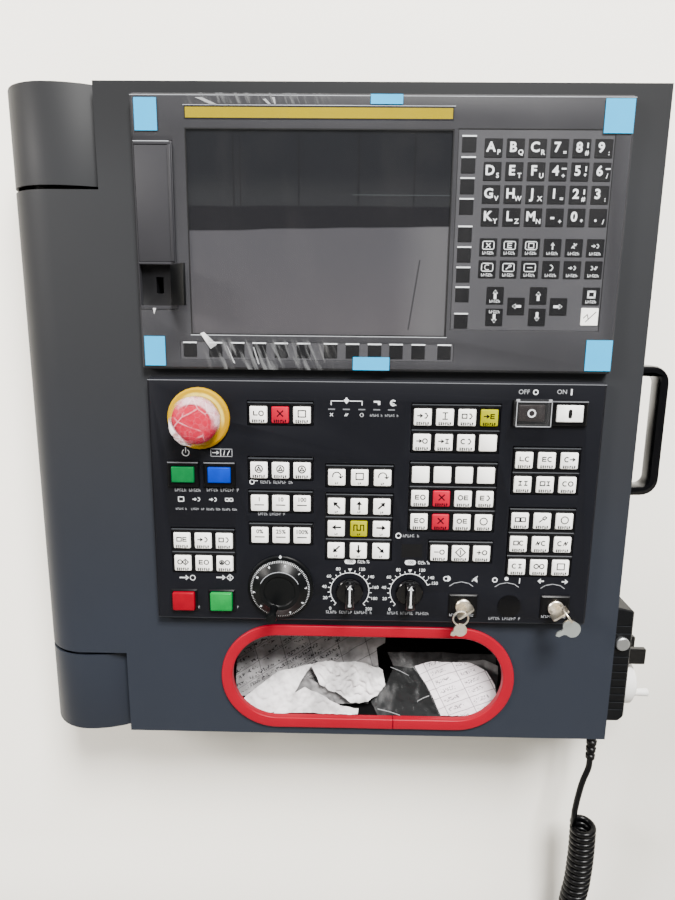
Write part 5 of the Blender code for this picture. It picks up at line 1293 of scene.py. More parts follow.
class StationTextKeys(bpy.types.Operator):
    """Makes the key sheet beside the screen and the two rows of soft keys"""

    bl_idname = "station.text_keys"
    bl_label = "Text keys"

    def execute(self, context):
        sizes = context.scene.station_sizes
        pitch = 0.01747
        columns = [0.364 + pitch * i for i in range(6)]
        rows = [0.2414 - pitch * s for s in (0.0, 1.0, 2.0, 3.0, 4.345, 5.341)]
        cursor = [
            (0.3897 + pitch * a, 0.1184 + pitch * b)
            for a, b in (
                (-1.02, 0.49), (-1.01, -0.52), (0.0, 0.0), (1.025, 0.5), (1.025, -0.5), (2.015, 0.0),
                (3.53, 0.5), (3.53, -0.46),
            )
        ]
        soft = [
            (0.3445, 0.2437 - 0.1382 * s)
            for s in (0, 0.114, 0.228, 0.342, 0.496, 0.613, 0.729, 0.844, 1)
        ]
        bottom = [
            (0.1157 + 0.216 * s, 0.0793)
            for s in (0, 0.101, 0.188, 0.274, 0.36, 0.448, 0.554, 0.64, 0.727, 0.811, 0.898, 1)
        ]
        hem = 0.0003
        for name, area, node in (
            ("key_sheet", KEYPAD, "mdi_keypad"), ("soft_key_sheet", SOFTKEYS, "softkey_bar"),
        ):
            build = Build()
            left, right, low, high = area
            build.box((left + hem, FACE + 0.0004, low + hem), (right - hem, FACE + 0.005, high - hem))
            build.piece(name, "sheet", "panel", "key_black", [node])
        keys = [(x, z) for z in rows for x in columns] + cursor[:-1]
        for name, spots, finish in (
            ("text_key_caps", keys, "text_key"), ("reset_key_cap", cursor[-1:], "cap"),
        ):
            item = cap_item(sizes.text_key, sizes.text_key, 0.0008, -0.0002, 0.0004, 0.0007)
            places = [(x, FACE, z, 0, 1, 1) for x, z in spots]
            repeated(name, item, places, finish, "panel")
        item = cap_item(sizes.soft_key, sizes.soft_key, 0.0008, -0.0001, 0.0003, 0.0005)
        places = [(x, FACE, z, 0, 1, 1) for x, z in soft + bottom]
        repeated("soft_key_caps", item, places, "text_key", "panel")
        # Painted highlights: a white line over the top edge of each soft key.
        top = sizes.soft_key / 2 + 0.0007
        lights = [(x, FACE, z + top, 0, sizes.soft_key, 0.0011) for x, z in soft + bottom]
        repeated("soft_key_edges", brick_item(), lights, "white", "panel")
        self.marks(columns, rows, cursor)
        return {"FINISHED"}

    def marks(self, columns, rows, cursor):
        """The characters and small pictures on the text keys."""
        build = Build()
        front, back = FACE - 0.0002 - PRINT_LIFT, FACE - 0.0001
        large = ("ABC789", "DEF456", "GHJ123", "KLM-0.")
        small = ("PQR=#:", "STU+*/", "VWX=#:", "YZN+*/")
        for i, z in enumerate(rows[:4]):
            for j, x in enumerate(columns):
                height = 0.0038 if j < 3 else 0.0036
                build.glyphs(large[i][j], x - 0.0020, z + 0.0004, 0.0074, front, back, 0, 0.03)
                build.glyphs(small[i][j], x + 0.0042, z - 0.0033, height, front, back, 0, 0.02)
                if (i, j) in ((0, 4), (1, 3), (1, 4), (1, 5), (2, 4)):
                    level = (0.0030, 0.0) if i == 1 and j != 4 else (0.0, 0.0030)
                    start = (x + 0.0046 - level[0] / 2, z + 0.0022 - level[1] / 2)
                    end = (start[0] + level[0], start[1] + level[1])
                    build.stroke([start, end], 0.0011, front, back)
        pictures = (("X", "E", "B", "a90", "Z", "RD"), ("C", "Y", "M", "D", "RD", "DZ"))
        for i, z in enumerate(rows[4:]):
            for j, x in enumerate(columns):
                if j < 3:
                    loop = moved(rounded_rectangle(0.0092, 0.0062, 0.0008, 1), x, z + 0.0015)
                    build.stroke(loop, 0.0007, front, back, 0, True)
                mark_key(build, pictures[i][j], x, z + 0.0015, 0.0026, 0.0007, front, back, 0)
                build.bars(x - 0.0048, x + 0.0048, z - 0.0045, 0.0024, front, back)
        arrows = ("a90", "a270", "a180", "a90", "a270", "a0", "B")
        for (x, z), mark in zip(cursor, arrows):
            shift = 0.0014 if mark == "B" or x < 0.375 else 0.0
            shift = -shift if (x, z) == cursor[1] else shift
            mark_key(build, mark, x, z + shift, 0.0034, 0.0014, front, back, 0)
            if x < 0.375 or mark == "B":
                build.bars(x - 0.0046, x + 0.0046, z - shift * 3.2, 0.0024, front, back)
        x, z = cursor[-1]
        for scribble in (
            ((-0.005, -0.001), (-0.002, 0.002), (-0.001, -0.002), (0.004, 0.003)),
            ((-0.003, -0.004), (0.005, 0.004)),
        ):
            build.stroke(moved(scribble, x, z), 0.0007, front, back, 1)
        build.piece("text_key_marks", ["white", "ink"], "panel", "key_black")


def mark_key(build, marks, x, z, size, width, front, back, finish):
    """One or two small pictures side by side about x and z. An arrow is the letter a and its angle."""
    if marks[0] == "a":
        turn = math.radians(float(marks[1:]))
        cos, sin = math.cos(turn), math.sin(turn)
        shaft, head = (
            [(x + size * (a * cos - b * sin), z + size * (a * sin + b * cos)) for a, b in line]
            for line in (((-1, 0), (0.5, 0)), ((0.1, 0.65), (1.0, 0.0), (0.1, -0.65)))
        )
        build.stroke(shaft, width * 1.5, front, back, finish)
        build.prism(forward(head), front, back, finish)
        return
    if any(c.isdigit() for c in marks):
        build.glyphs(marks, x, z + size * 0.55, size * 0.95, front, back, finish, 0.03)
        build.stroke([(x - size, z - size * 0.7), (x + size, z - size * 0.7)], width, front, back, finish)
        return
    span = size * (1.25 if len(marks) > 1 else 0)
    for i, mark in enumerate(marks):
        cx = x - span / 2 * (len(marks) - 1) + span * i
        small = size * (0.62 if len(marks) > 1 else 1.0)
        for line, looped in PICTURES[mark]:
            spots = [(cx + small * a, z + small * b) for a, b in line]
            build.stroke(spots, width, front, back, finish, looped)


def forward(points):
    """An outline, turned round where it runs clockwise."""
    area = sum(a[0] * b[1] - b[0] * a[1] for a, b in zip(points, points[1:] + points[:1]))
    return points if area > 0 else points[::-1]


def ring_points(count, start=0.0, end=360.0, radius=0.8):
    """Points of an arc about the origin, in shares of a picture's size."""
    whole = abs(end - start) == 360
    angles = [math.radians(start + (end - start) * i / count) for i in range(count if whole else count + 1)]
    return [(radius * math.cos(angle), radius * math.sin(angle)) for angle in angles]


def closed(*points):
    """A line that ends where it starts."""
    return points, True


def opened(*points):
    """A line with two ends."""
    return points, False


# Small pictures in shares of their size
PICTURES = {
    "O": [closed(*ring_points(12))],
    "Q": [closed(*ring_points(12)), closed((-0.4, -0.3), (0, 0.45), (0.4, -0.3))],
    "X": [opened((-0.6, -0.6), (0.6, 0.6)), opened((-0.6, 0.6), (0.6, -0.6))],
    "B": [closed((-0.8, -0.7), (0.8, -0.7), (0.8, 0.7), (-0.8, 0.7))],
    "C": [opened(*ring_points(8, 60, 300))],
    "D": [opened((-0.3, -0.8), (0.1, -0.8), (0.6, 0), (0.1, 0.8), (-0.3, 0.8))],
    "E": [opened((0.6, 0.7), (-0.6, 0.7), (-0.6, -0.7), (0.6, -0.7)), opened((-0.6, 0), (0.5, 0))],
    "I": [opened((0, -0.7), (0, 0.7)), opened((-0.5, 0.7), (0.5, 0.7)), opened((-0.5, -0.7), (0.5, -0.7))],
    "K": [closed((0, -1.1), (1.1, 0), (0, 1.1), (-1.1, 0)), opened((0, -0.5), (0, 0.5))],
    "L": [opened((-0.6, 0.7), (-0.6, -0.6), (0.7, -0.6))],
    "M": [opened((-0.7, 0), (0.7, 0))],
    "N": [opened((-0.7, -0.6), (-0.1, 0.6), (0.1, -0.6), (0.7, 0.6))],
    "P": [opened((-0.7, 0), (0.7, 0)), opened((0, -0.7), (0, 0.7))],
    "R": [opened((-0.9, 0), (0.7, 0)), opened((0.1, 0.5), (0.8, 0), (0.1, -0.5))],
    "U": [opened(*ring_points(8, 190, -10, 0.9)), opened((0.5, -0.1), (0.9, -0.4), (1.3, 0))],
    "W": [
        opened(
            (-1.1, -0.7), (-1.1, 0.6), (-0.4, 0.6), (-0.4, -0.6),
            (0.4, -0.6), (0.4, 0.6), (1.1, 0.6), (1.1, -0.7),
        ),
    ],
    "Y": [opened((-0.7, -0.5), (0.2, 0.2)), closed((0.0, 0.4), (0.4, 0.0), (0.9, 0.5), (0.5, 0.8))],
    "Z": [
        opened((-0.7, -0.6), (0.7, 0.6)), opened((-0.5, -0.1), (0.1, -0.7)),
        opened((-0.1, 0.7), (0.5, 0.1)),
    ],
}


class StationOperatorKeys(bpy.types.Operator):
    """Makes the operator unit's key blocks: frames, caps, lamp windows and marks"""

    bl_idname = "station.operator_keys"
    bl_label = "Operator keys"

    def execute(self, context):
        sizes = context.scene.station_sizes
        wide, tall = sizes.cap_width, sizes.cap_height
        caps = {"cap": [], "cap_red": [], "cap_yellow": []}
        lamps, ridges = [], []
        side, foot, brow = 0.0017, 0.0014, 0.0042
        for block, (pitch, runs) in KEY_BLOCKS.items():
            build = Build()
            for x, z, columns, rows, row_pitch in runs:
                left, right = x - wide / 2 - side, x + (columns - 1) * pitch + wide / 2 + side
                low = z - (rows - 1) * row_pitch - tall / 2 - foot
                build.box((left, FACE - 0.0006, low), (right, FACE + 0.0014, z + tall / 2 + brow))
                for row in range(rows):
                    rise = z - row * row_pitch + tall / 2 + 0.0008
                    self.bar(build, left, right, rise, rise + 0.0030)
                    for column in range(columns):
                        lamps.append((x + column * pitch, FACE - 0.00145, rise + 0.0013, 0, 0.0060, 0.0010))
                    for column in range(columns - 1):
                        middle = x + (column + 0.5) * pitch
                        ridges.append((middle, FACE - 0.0009, z - row * row_pitch, 0, 0.0006, tall))
            build.piece(block + "_frame", ["frame", "bar_top"], "panel", "key_white", [block], 20)
            for row, column, x, z in key_places(block):
                kind = "cap_red" if (block, row, column) in RED_KEYS else "cap"
                kind = "cap_yellow" if (block, row, column) in YELLOW_KEYS else kind
                caps[kind].append((x, FACE, z, 0, 1, 1))
        for kind, places in caps.items():
            item = cap_item(wide, tall, -0.0004, KEY_FACE - FACE, 0.0007, 0.0011)
            repeated("operator_" + kind + "s", item, places, kind, "panel", 50)
        repeated("lamp_windows", brick_item(), lamps, "dark_ink", "panel")
        repeated("frame_ridges", brick_item(), ridges, "satin", "panel")
        self.marks()
        return {"FINISHED"}

    def bar(self, build, left, right, low, high):
        """The raised bar over a row of keys: a bevelled ridge whose top edge carries a painted highlight."""
        section = (
            (0.0005, low), (-0.0011, low), (-0.0014, low + 0.0004),
            (-0.0014, high - 0.0008), (-0.0006, high), (0.0005, high),
        )
        for face in build.skin([[(x, FACE + y, z) for y, z in section] for x in (left, right)]):
            centre = face.calc_center_median()
            # The top faces take the painted highlight.
            if centre.z > high - 0.00045 and centre.y < FACE - 0.0008:
                face.material_index = 1

    def marks(self):
        """The small grey pictures and words on the caps."""
        build = Build()
        front, back = KEY_FACE - PRINT_LIFT, KEY_FACE + 0.0001
        for block in KEY_BLOCKS:
            for row, column, x, z in key_places(block):
                mark = KEY_MARKS[block][row][column]
                if not mark:
                    continue
                coloured = (block, row, column) in RED_KEYS | YELLOW_KEYS
                ink = 1 if mark[0] == "a" or coloured else 0
                mark_key(build, mark, x, z + 0.0014, 0.0040, 0.0010, front, back, ink)
                if block == "jog_keys":
                    build.bars(x - 0.0016, x + 0.0016, z - 0.0050, 0.0018, front, back, ink, 0.28)
                elif block != "feed_keys" or row == 0:
                    build.bars(x - 0.0057, x + 0.0057, z - 0.0053, 0.0025, front, back, ink, 0.32)
        build.piece("key_marks", ["ink", "dark_ink"], "panel", "key_white")


class Pen:
    """Prints on the face of a unit, in millimetres, with lines of a set width."""

    def __init__(self, build, width):
        self.build = build
        self.width = width

    def line(self, points, thick=1.0, tone=0, looped=False):
        points = [(x / 1000, z / 1000) for x, z in points]
        self.build.stroke(points, self.width * thick, *PRINTED, tone, looped)

    def arc(self, x, z, radius, start, end, thick=1.0, tone=0):
        width = self.width * thick
        self.build.arc(x / 1000, z / 1000, radius / 1000, start, end, width, *PRINTED, tone)

    def solid(self, points, tone=0):
        self.build.prism([(x / 1000, z / 1000) for x, z in points], *PRINTED, tone)

    def mark(self, mark, x, z, size, thick):
        """A small picture of the keys."""
        width = self.width * thick
        mark_key(self.build, mark, x / 1000, z / 1000, size / 1000, width, *PRINTED, 0)


class StationPrints(bpy.types.Operator):
    """Dresses the operator plate and prints its scales, pictures and words"""

    bl_idname = "station.prints"
    bl_label = "Plate and prints"

    def execute(self, context):
        dressed("operator_plate", "plate", 0.0004)
        left, right, low, high = OPERATOR
        front, back = PRINTED
        # Painted highlights: pale lines along the top and bottom edges of the plate.
        edge = Build()
        for bottom, top, tone in ((high - 0.0022, high - 0.0016, 0), (low + 0.0016, low + 0.0021, 1)):
            edge.box((left + 0.0006, front, bottom), (right - 0.0006, back, top), tone)
        edge.piece("plate_edges", ["faint", "bar_top"], "panel", "operator_navy")
        build = Build()
        self.words(build)
        pen = Pen(build, context.scene.station_sizes.print_width)
        self.left_pictures(pen)
        self.middle_pictures(pen)
        self.lock_pictures(pen)
        for centre, end in DIAL_ENDS:
            self.scale(build, *centre, end)
        build.piece("plate_prints", ["white", "faint", "dark_ink", "word"], "panel", "operator_navy")
        ticks = []
        for (x, z), end in DIAL_ENDS:
            count = round((end - DIAL_NOUGHT) / DIAL_TICK)
            turns = [math.radians(DIAL_NOUGHT + DIAL_TICK * i) for i in range(count + 1)]
            ticks += [(x, FACE, z, turn, 1, 1) for turn in turns]
        item = Build()
        long = context.scene.station_sizes.tick_length
        item.box((-0.0003, -PRINT_LIFT, DIAL_RADIUS), (0.0003, PRINT_SINK, DIAL_RADIUS + long))
        repeated("dial_ticks", item.mesh("tick"), ticks, "white", "panel")
        return {"FINISHED"}

    def scale(self, build, x, z, end):
        """A dial's arc and its numbers, from nought at the lower left."""
        front, back = PRINTED
        build.arc(x, z, DIAL_RADIUS, 90 - DIAL_NOUGHT, 90 - end, 0.0006, front, back, 0, 40)
        build.prism([(x, z + 0.0182), (x + 0.0017, z + 0.0216), (x - 0.0017, z + 0.0216)], front, back, 0)
        count = 1 + int((end - DIAL_NOUGHT) / (2 * DIAL_TICK))
        numbers = [
            (str(20 * i), DIAL_NOUGHT + 2 * DIAL_TICK * i, 0.0236 + (0.0014 if i in (0, 10) else 0), 0)
            for i in range(count) if i != 5
        ]
        if end < 100:
            numbers.append(("150", end, 0.0245, 0.0008))
        for word, degrees, reach, drop in numbers:
            angle = math.radians(degrees)
            across, up = reach * math.sin(angle), reach * math.cos(angle)
            build.glyphs(word, x + across, z + up - drop, 0.0030, front, back, 0)
        box = moved(rounded_rectangle(0.0100, 0.0046, 0.0022), x, z + 0.0284)
        build.prism(box, front, back, 0)
        build.glyphs("100", x, z + 0.0284, 0.0028, front - PRINT_LIFT, back, 2, 0.01)
        build.bars(x + 0.0068, x + 0.0140, z + 0.0284, 0.0030, front, back, 0)
        build.glyphs("%", x + 0.0162, z + 0.0284, 0.0030, front, back, 0)

    def words(self, build):
        """Rows of bars where words stand, in millimetres: left, right, middle height, size."""
        front, back = PRINTED
        rows = (
            (97.4, 120.7, -44.3, 2.9), (126, 155, -43.8, 2.9), (97.7, 107.7, -61.8, 2.0),
            (111.4, 123.4, -61.8, 2.0), (125.3, 138, -61.8, 2.0), (139.5, 152.9, -61.8, 2.0),
            (94.7, 118.4, -156.3, 2.4), (127.6, 152.6, -155.6, 2.4), (174, 203, -36, 2.6),
            (171.5, 196, -65.5, 2.4), (269.9, 281, 25.0, 2.2), (282.9, 294.8, 25.0, 2.2),
            (233, 275.5, -159, 2.8), (289.5, 328, -159, 2.8), (301.6, 316.6, -84, 2.8),
            (382.9, 412.2, -162.6, 2.8),
        )
        for left, right, z, size in rows:
            build.bars(left / 1000, right / 1000, z / 1000, size / 1000, front, back, 3)
        proud = FACE - 0.0025 - PRINT_LIFT
        for left, right in ((346.2, 370.4), (430.2, 454.6)):
            build.bars(left / 1000, right / 1000, -0.1587, 0.0026, proud, FACE - 0.0022, 3)
        for x in (236.7, 249.5, 262.8, 275.7, 288.4):
            build.box(((x - 3) / 1000, front, 0.0294), ((x + 3) / 1000, back, 0.0305), 1)
        build.glyphs("OFF", 0.4015, 0.0468, 0.0040, front, back, 3)
        build.glyphs("ON", 0.4338, 0.0472, 0.0040, front, back, 3)
        for x, mark in ((0.2367, "X"), (0.2495, "N"), (0.2629, "O")):
            mark_key(build, mark, x, 0.0252, 0.0018, 0.0006, front, back, 0)

    def left_pictures(self, pen):
        """The pictures over the lit buttons and the memory keys."""
        pen.arc(108.5, -10.2, 3.0, 125, 415, 1.1)
        pen.line([(108.5, -10), (108.5, -5.8)], 1.1)
        pen.line([(130.7, -13.2), (149.4, -13.2), (149.4, -6.6), (130.7, -6.6)], 0.9, 3, True)
        pen.line([(132, -9.9), (137.5, -9.9)], 1.0)
        pen.solid([(135.8, -11.6), (138.2, -9.9), (135.8, -8.2)])
        pen.line([(139.4, -13), (139.4, -6.8)], 0.9)
        pen.line([(142, -12), (143, -8)], 1.0)
        pen.line([(145.2, -12), (147.2, -8)], 1.0)
        for x, mark in ((102.8, "B"), (116.8, "RD"), (131.7, "RD"), (145.8, "BB")):
            pen.mark(mark, x, -52.8, 2.9, 1.3)
        pen.line([(99, -127.5), (105.5, -127.5)], 1.8)
        pen.solid([(104.3, -130), (107, -127.5), (104.3, -125)])
        pen.arc(110.6, -127.5, 2.3, 0, 360)
        pen.line([(132.8, -126.8), (139.3, -126.8)], 1.8)
        pen.solid([(138, -129.3), (140.8, -126.8), (138, -124.3)])
        pen.line([(142, -126.8), (145, -123.8), (148, -126.8), (145, -129.8)], 1.1, 0, True)
        pen.line([(145, -128.4), (145, -125.2)], 1.2)

    def middle_pictures(self, pen):
        """The pictures round the keys and over the power buttons."""
        pen.arc(166.6, -36, 1.9, 0, 360, 1.2)
        pen.line([(168.9, -34.8), (171.6, -34.8)], 1.0)
        pen.line([(236.3, 33.8), (236.3, 37.2), (246.5, 37.2)], 1.1)
        pen.line([(252.4, 37.2), (263, 37.2), (263, 33.8)], 1.1)
        pen.solid([(247, 37.6), (249.5, 40.4), (252, 37.6), (249.5, 34.8)])
        pen.solid([(273, 37.6), (278.6, 37.6), (278.6, 34.2), (276.8, 34.2), (276.4, 36), (273, 36.2)])
        pen.arc(289.8, 36, 2.1, 40, 320, 2.2)
        pen.line([(289, 36), (292.2, 34)], 1.2)
        pen.arc(297.8, -84, 2.2, 0, 360, 1.6)
        pen.arc(411.4, 46.8, 1.9, 0, 360, 1.6)
        pen.line([(441.9, 45), (441.9, 49.4)], 2.2)

    def lock_pictures(self, pen):
        """The pictures over the locks, and the dark window above their left end."""
        for left, middle, right, top in (
            (345.8, 356.4, 367.0, -127.2), (387.1, 397.7, 408.5, -127.3), (428.7, 439.2, 450.2, -128.0),
        ):
            low, high = top - 4.2, top - 1.4
            pen.line([(left, low), (left + 4, high), (middle, top), (right - 4, high), (right, low)], 0.9, 3)
        pen.arc(342.2, -124.4, 2.0, 0, 360, 1.4)
        pen.arc(343.6, -124.4, 2.0, -90, 90, 2.6)
        pen.solid([(366.4, -124.6), (370, -121.8), (370.8, -127.6)])
        pen.line([(366, -126.6), (370.8, -121.6)], 1.0)
        pen.arc(386.6, -124.9, 2.0, 0, 360, 1.5)
        pen.solid(moved(ring_points(12, radius=1.8), 397.1, -123.6))
        pen.line([(409, -123), (409, -127.6)], 1.3)
        pen.solid([(425.4, -125.3), (428.2, -122.9), (428.2, -127.7)])
        pen.line([(428, -125.3), (430.6, -125.3)], 1.9)
        pen.solid([(452.9, -125.6), (450.1, -123.2), (450.1, -128)])
        pen.line([(447.6, -125.6), (450.4, -125.6)], 1.9)
        pen.solid([(301, -104.5), (319.7, -104.5), (319.7, -91.7), (301, -91.7)], 2)


class StationButtons(bpy.types.Operator):
    """Dresses the lit buttons, the power buttons and the flip guard"""

    bl_idname = "station.buttons"
    bl_label = "Buttons"

    def execute(self, context):
        for name, finish, slot, bevel in (
            ("ready", "go_lens", "green", 0.0005), ("release", "release_lens", "blue", 0.0005),
            ("cycle_stop", "stop_lens", "red", 0.0009), ("cycle_start", "start_lens", "green", 0.0009),
            ("off", "off_lens", "lens_dark", 0.0005), ("on", "on_lens", "lens_white", 0.0005),
        ):
            dressed(name + "_button", finish, bevel)
        dressed("off_guard", "guard", 0.0003)
        self.lines()
        self.guard_edges()
        marks = Build()
        marks.arc(0.4079, 0.0292, 0.0030, 0, 360, 0.0013, FACE - 0.005 - PRINT_LIFT, FACE - 0.0049)
        marks.piece("off_mark", "white", "off_button", "lens_dark")
        marks = Build()
        outline = moved(rounded_rectangle(0.0032, 0.0078, 0.0015), 0.4405, 0.0292)
        marks.prism(outline, FACE - 0.0055 - PRINT_LIFT, FACE - 0.0054)
        marks.piece("on_mark", "dark_ink", "on_button", "lens_white")
        return {"FINISHED"}

    def guard_edges(self):
        """Painted highlights along the edges of the clear flip guard, and the two ends of its hinge."""
        low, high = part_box("off_guard")
        left, right, bottom, top = low.x + 0.0004, high.x - 0.0004, low.z + 0.0004, high.z - 0.0018
        build = Build()
        corners = [(left, bottom), (right, bottom), (right, top), (left, top)]
        build.stroke(corners, 0.0006, low.y - PRINT_LIFT, low.y + PRINT_SINK, 0, True)
        foot, head = high.z - 0.0016, high.z + 0.0001
        for x in (left + 0.001, right - 0.001):
            build.box((x - 0.0014, low.y + 0.0012, foot), (x + 0.0014, low.y + 0.0024, head))
        build.piece("guard_edges", "word", "off_guard", "clear_plastic")

    def lines(self):
        """Painted highlights along the top edges of the button housings."""
        build = Build()
        front, back = FACE - 0.004 - PRINT_LIFT, FACE - 0.004 + PRINT_SINK
        for x, z, wide, tall in (
            (106.3, -29.1, 27.7, 22.8), (138.4, -29.1, 27.7, 22.8), (440.5, 29.2, 31, 21.7),
        ):
            top = z + tall / 2 - 0.7
            left, right = (x - wide / 2 + 0.3) / 1000, (x + wide / 2 - 0.3) / 1000
            build.box((left, front, (top - 0.45) / 1000), (right, back, (top + 0.45) / 1000))
        build.piece("housing_edges", "faint", "panel", "operator_navy")


class StationStop(bpy.types.Operator):
    """Dresses the emergency stop with its crinkled wrap"""

    bl_idname = "station.stop"
    bl_label = "Emergency stop"

    def execute(self, context):
        dressed("estop_collar", "stop_ring", smooth=40)
        dressed("estop_plunger", "satin", smooth=40)
        dressed("estop_head", "stop_head", smooth=40)
        profile = (
            (8.0, 9.9), (13.5, 10.1), (18.5, 10.8), (20.9, 12.6), (21.3, 16), (20.9, 20),
            (19.2, 23.6), (15.5, 26.0), (10.5, 27.0), (5.0, 27.4), (1.2, 27.5),
        )
        outer, inner = ([self.ring(*place, thick) for place in profile] for thick in (0.0, -0.25))
        build = Build()
        build.skin(outer + inner[::-1], looped=True)
        build.piece("stop_wrap", "wrap", "estop_head", "clear_film", (), 75)
        return {"FINISHED"}

    def ring(self, radius, lift, thick, segments=72):
        """One creased ring of the wrap in millimetres from the plate, gathered at the lower left."""
        ring = []
        for i in range(segments):
            angle = 2 * math.pi * i / segments
            across, up = math.cos(angle), math.sin(angle)
            spot = Vector((across, up, lift / 14))
            crease = noise.noise(spot * 2.3 + Vector((4, 1, 2))) + 0.55 * abs(noise.noise(spot * 6.1))
            push = 0.75 * crease * (0.35 + 0.65 * min(1.0, radius / 12))
            gather = max(0.0, math.cos(angle - math.radians(226))) ** 4
            gather *= max(0.0, min(1.0, (radius - 14) / 6))
            push += gather * (1.6 + 1.4 * noise.noise(spot * 4.3))
            reach = (radius + thick + push) / 1000
            lifted = (lift + thick * (1.0 if radius < 16 else 0.2) + push * 0.6) / 1000
            ring.append((STOP[0] + reach * across, FACE - lifted, STOP[1] + reach * up))
        return ring


class StationWheels(bpy.types.Operator):
    """Dresses the handwheel and the two override knobs"""

    bl_idname = "station.wheels"
    bl_label = "Wheel and knobs"

    def execute(self, context):
        dressed("handwheel_base", "satin", smooth=40)
        dressed("handwheel_dial", "satin", smooth=40)
        dressed("handwheel_crank", "satin", smooth=40)
        x, z = WHEEL
        item = Build()
        half = 0.00015
        corners = ((-half, -PRINT_LIFT), (half, -PRINT_LIFT), (half, PRINT_SINK), (-half, PRINT_SINK))
        item.skin([[(a, self.slope(reach) + b, reach) for a, b in corners] for reach in (0.0254, 0.0270)])
        turns = [(x, FACE, z, math.radians(3.6 * i), 1, 1) for i in range(100)]
        repeated("wheel_ticks", item.mesh("wheel_tick"), turns, "white", "handwheel_dial")
        numbers = Build()
        reach = 0.0230
        face = FACE + self.slope(reach)
        for i in range(10):
            angle = math.radians(36 * i + 12)
            spot = (x + reach * math.sin(angle), z + reach * math.cos(angle))
            numbers.glyphs(str(i), *spot, 0.0028, face - 0.0003, face + 0.0006, 0, 0.01, angle)
        numbers.piece("wheel_numbers", "white", "handwheel_dial", "key_black")
        # A painted highlight: a bright arc along the upper edge of the wheel's hub.
        ring = Build()
        for start in range(24, 156, 12):
            ring.arc(x, z, 0.0185, start, start + 12, 0.00050, FACE - 0.01245, FACE - 0.0120, 0, 4)
        ring.piece("wheel_ring", "edge_light", "handwheel_dial", "key_black")
        index = Build()
        diamond = ((0, 0.0274), (0.0014, 0.0292), (0, 0.0312), (-0.0014, 0.0292))
        index.prism(moved(diamond, x, z), FACE - 0.0026, FACE - 0.0024)
        index.piece("wheel_index", "white", "panel", "key_black")
        for node, (x, z) in (("feed_knob", FEED_DIAL), ("spindle_knob", SPINDLE_DIAL)):
            dressed(node, "gloss", 0.0006, 40)
            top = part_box(node)[0].y
            front, back = top - PRINT_LIFT, top + PRINT_SINK
            hand = Build()
            hand.box((x - 0.0007, front, z - 0.0075), (x + 0.0007, back, z + 0.0085))
            tip = moved(((0, 0.0112), (-0.0024, 0.0078), (0.0024, 0.0078)), x, z)
            hand.prism(tip, front, back)
            hand.box((x - 0.0013, front, z - 0.0088), (x + 0.0013, back, z - 0.0066))
            hand.piece(node + "_pointer", "white", node, "gloss_black")
        return {"FINISHED"}

    def slope(self, radius):
        """How far the dial's sloped face stands from the plate at a radius."""
        return -0.0058 - (0.0272 - radius) / 0.0072 * 0.005


class StationLocks(bpy.types.Operator):
    """Dresses the key switches"""

    bl_idname = "station.locks"
    bl_label = "Locks"

    def execute(self, context):
        dressed("left_key", "nickel", smooth=35)
        dressed("right_key", ["nickel", "tag"], smooth=35, shape=self.bow)
        return {"FINISHED"}

    def bow(self, bm):
        """Draws the round head of the spare key into a notched bow, in a cooler plate than the lock."""
        cx, cz, reach = 0.4501, -0.1598, 0.0092
        front, back, top = -0.1446, -0.1424, -0.1530
        notches = (
            (58, 24, -0.12), (128, 16, 0.04), (172, 16, -0.20),
            (212, 12, -0.04), (244, 15, -0.30), (278, 14, -0.10),
        )
        for vert in bm.verts:
            x, y, z = vert.co
            if not front < y < back or math.hypot(x - cx, z - cz) > reach:
                continue
            angle = math.degrees(math.atan2(z - cz, x - cx)) % 360
            pull = 1.0
            for at, wide, deep in notches:
                pull += deep * math.exp(-(((angle - at) / wide) ** 2))
            vert.co.x, vert.co.z = cx + (x - cx) * pull, cz + (z - cz) * pull
        for face in bm.faces:
            middle = face.calc_center_median()
            if middle.y < back + 0.0004 and middle.z < top:
                face.material_index = 1


# The sheets in the pocket, in millimetres: outline, depth, height of folds, seed of folds, tone
BACK_SHEETS = (
    ([(139, -205), (293, -205), (292, -222), (284, -227), (287, -253), (292, -262), (217, -279), (139, -279)],
     -60, 3.0, 1.0, 0),
    ([(295, -233), (350, -232), (408, -233), (408, -245), (324, -248), (301, -247)], -58, 2.0, 27.0, 3),
    ([(366, -236), (392, -235), (408, -240), (408, -268), (384, -268)], -66, 2.0, 33.0, 4),
    ([(177, -279), (196, -268), (205, -250), (230, -262), (242, -268), (274, -270), (276, -279)],
     -70, 3.0, 3.0, 4),
)
FRONT_SHEETS = (
    ([(140, -279), (142, -275), (165, -257), (185, -244), (219, -237), (206, -254), (197, -269), (186, -279)],
     -76, 3.0, 5.0, 1),
    ([(181, -279), (201, -261), (211, -256), (232, -265), (248, -272), (266, -274), (265, -279)],
     -78, 3.0, 13.0, 1),
    ([(216, -240), (232, -237), (260, -237), (290, -242), (292, -253), (284, -264), (268, -272),
      (258, -273), (244, -265), (226, -257)], -72, 8.0, 9.0, 1),
    ([(322, -236), (343, -232), (377, -233), (394, -240), (402, -252), (404, -266), (398, -279),
      (347, -279), (341, -266)], -77, 2.0, 21.0, 2),
)
BAG = (
    ([(300, -236), (297, -225), (312, -222), (321, -234), (340, -263), (346, -279), (284, -279),
      (278, -267), (292, -253)], -80, 4.0, 31.0, 0),
)


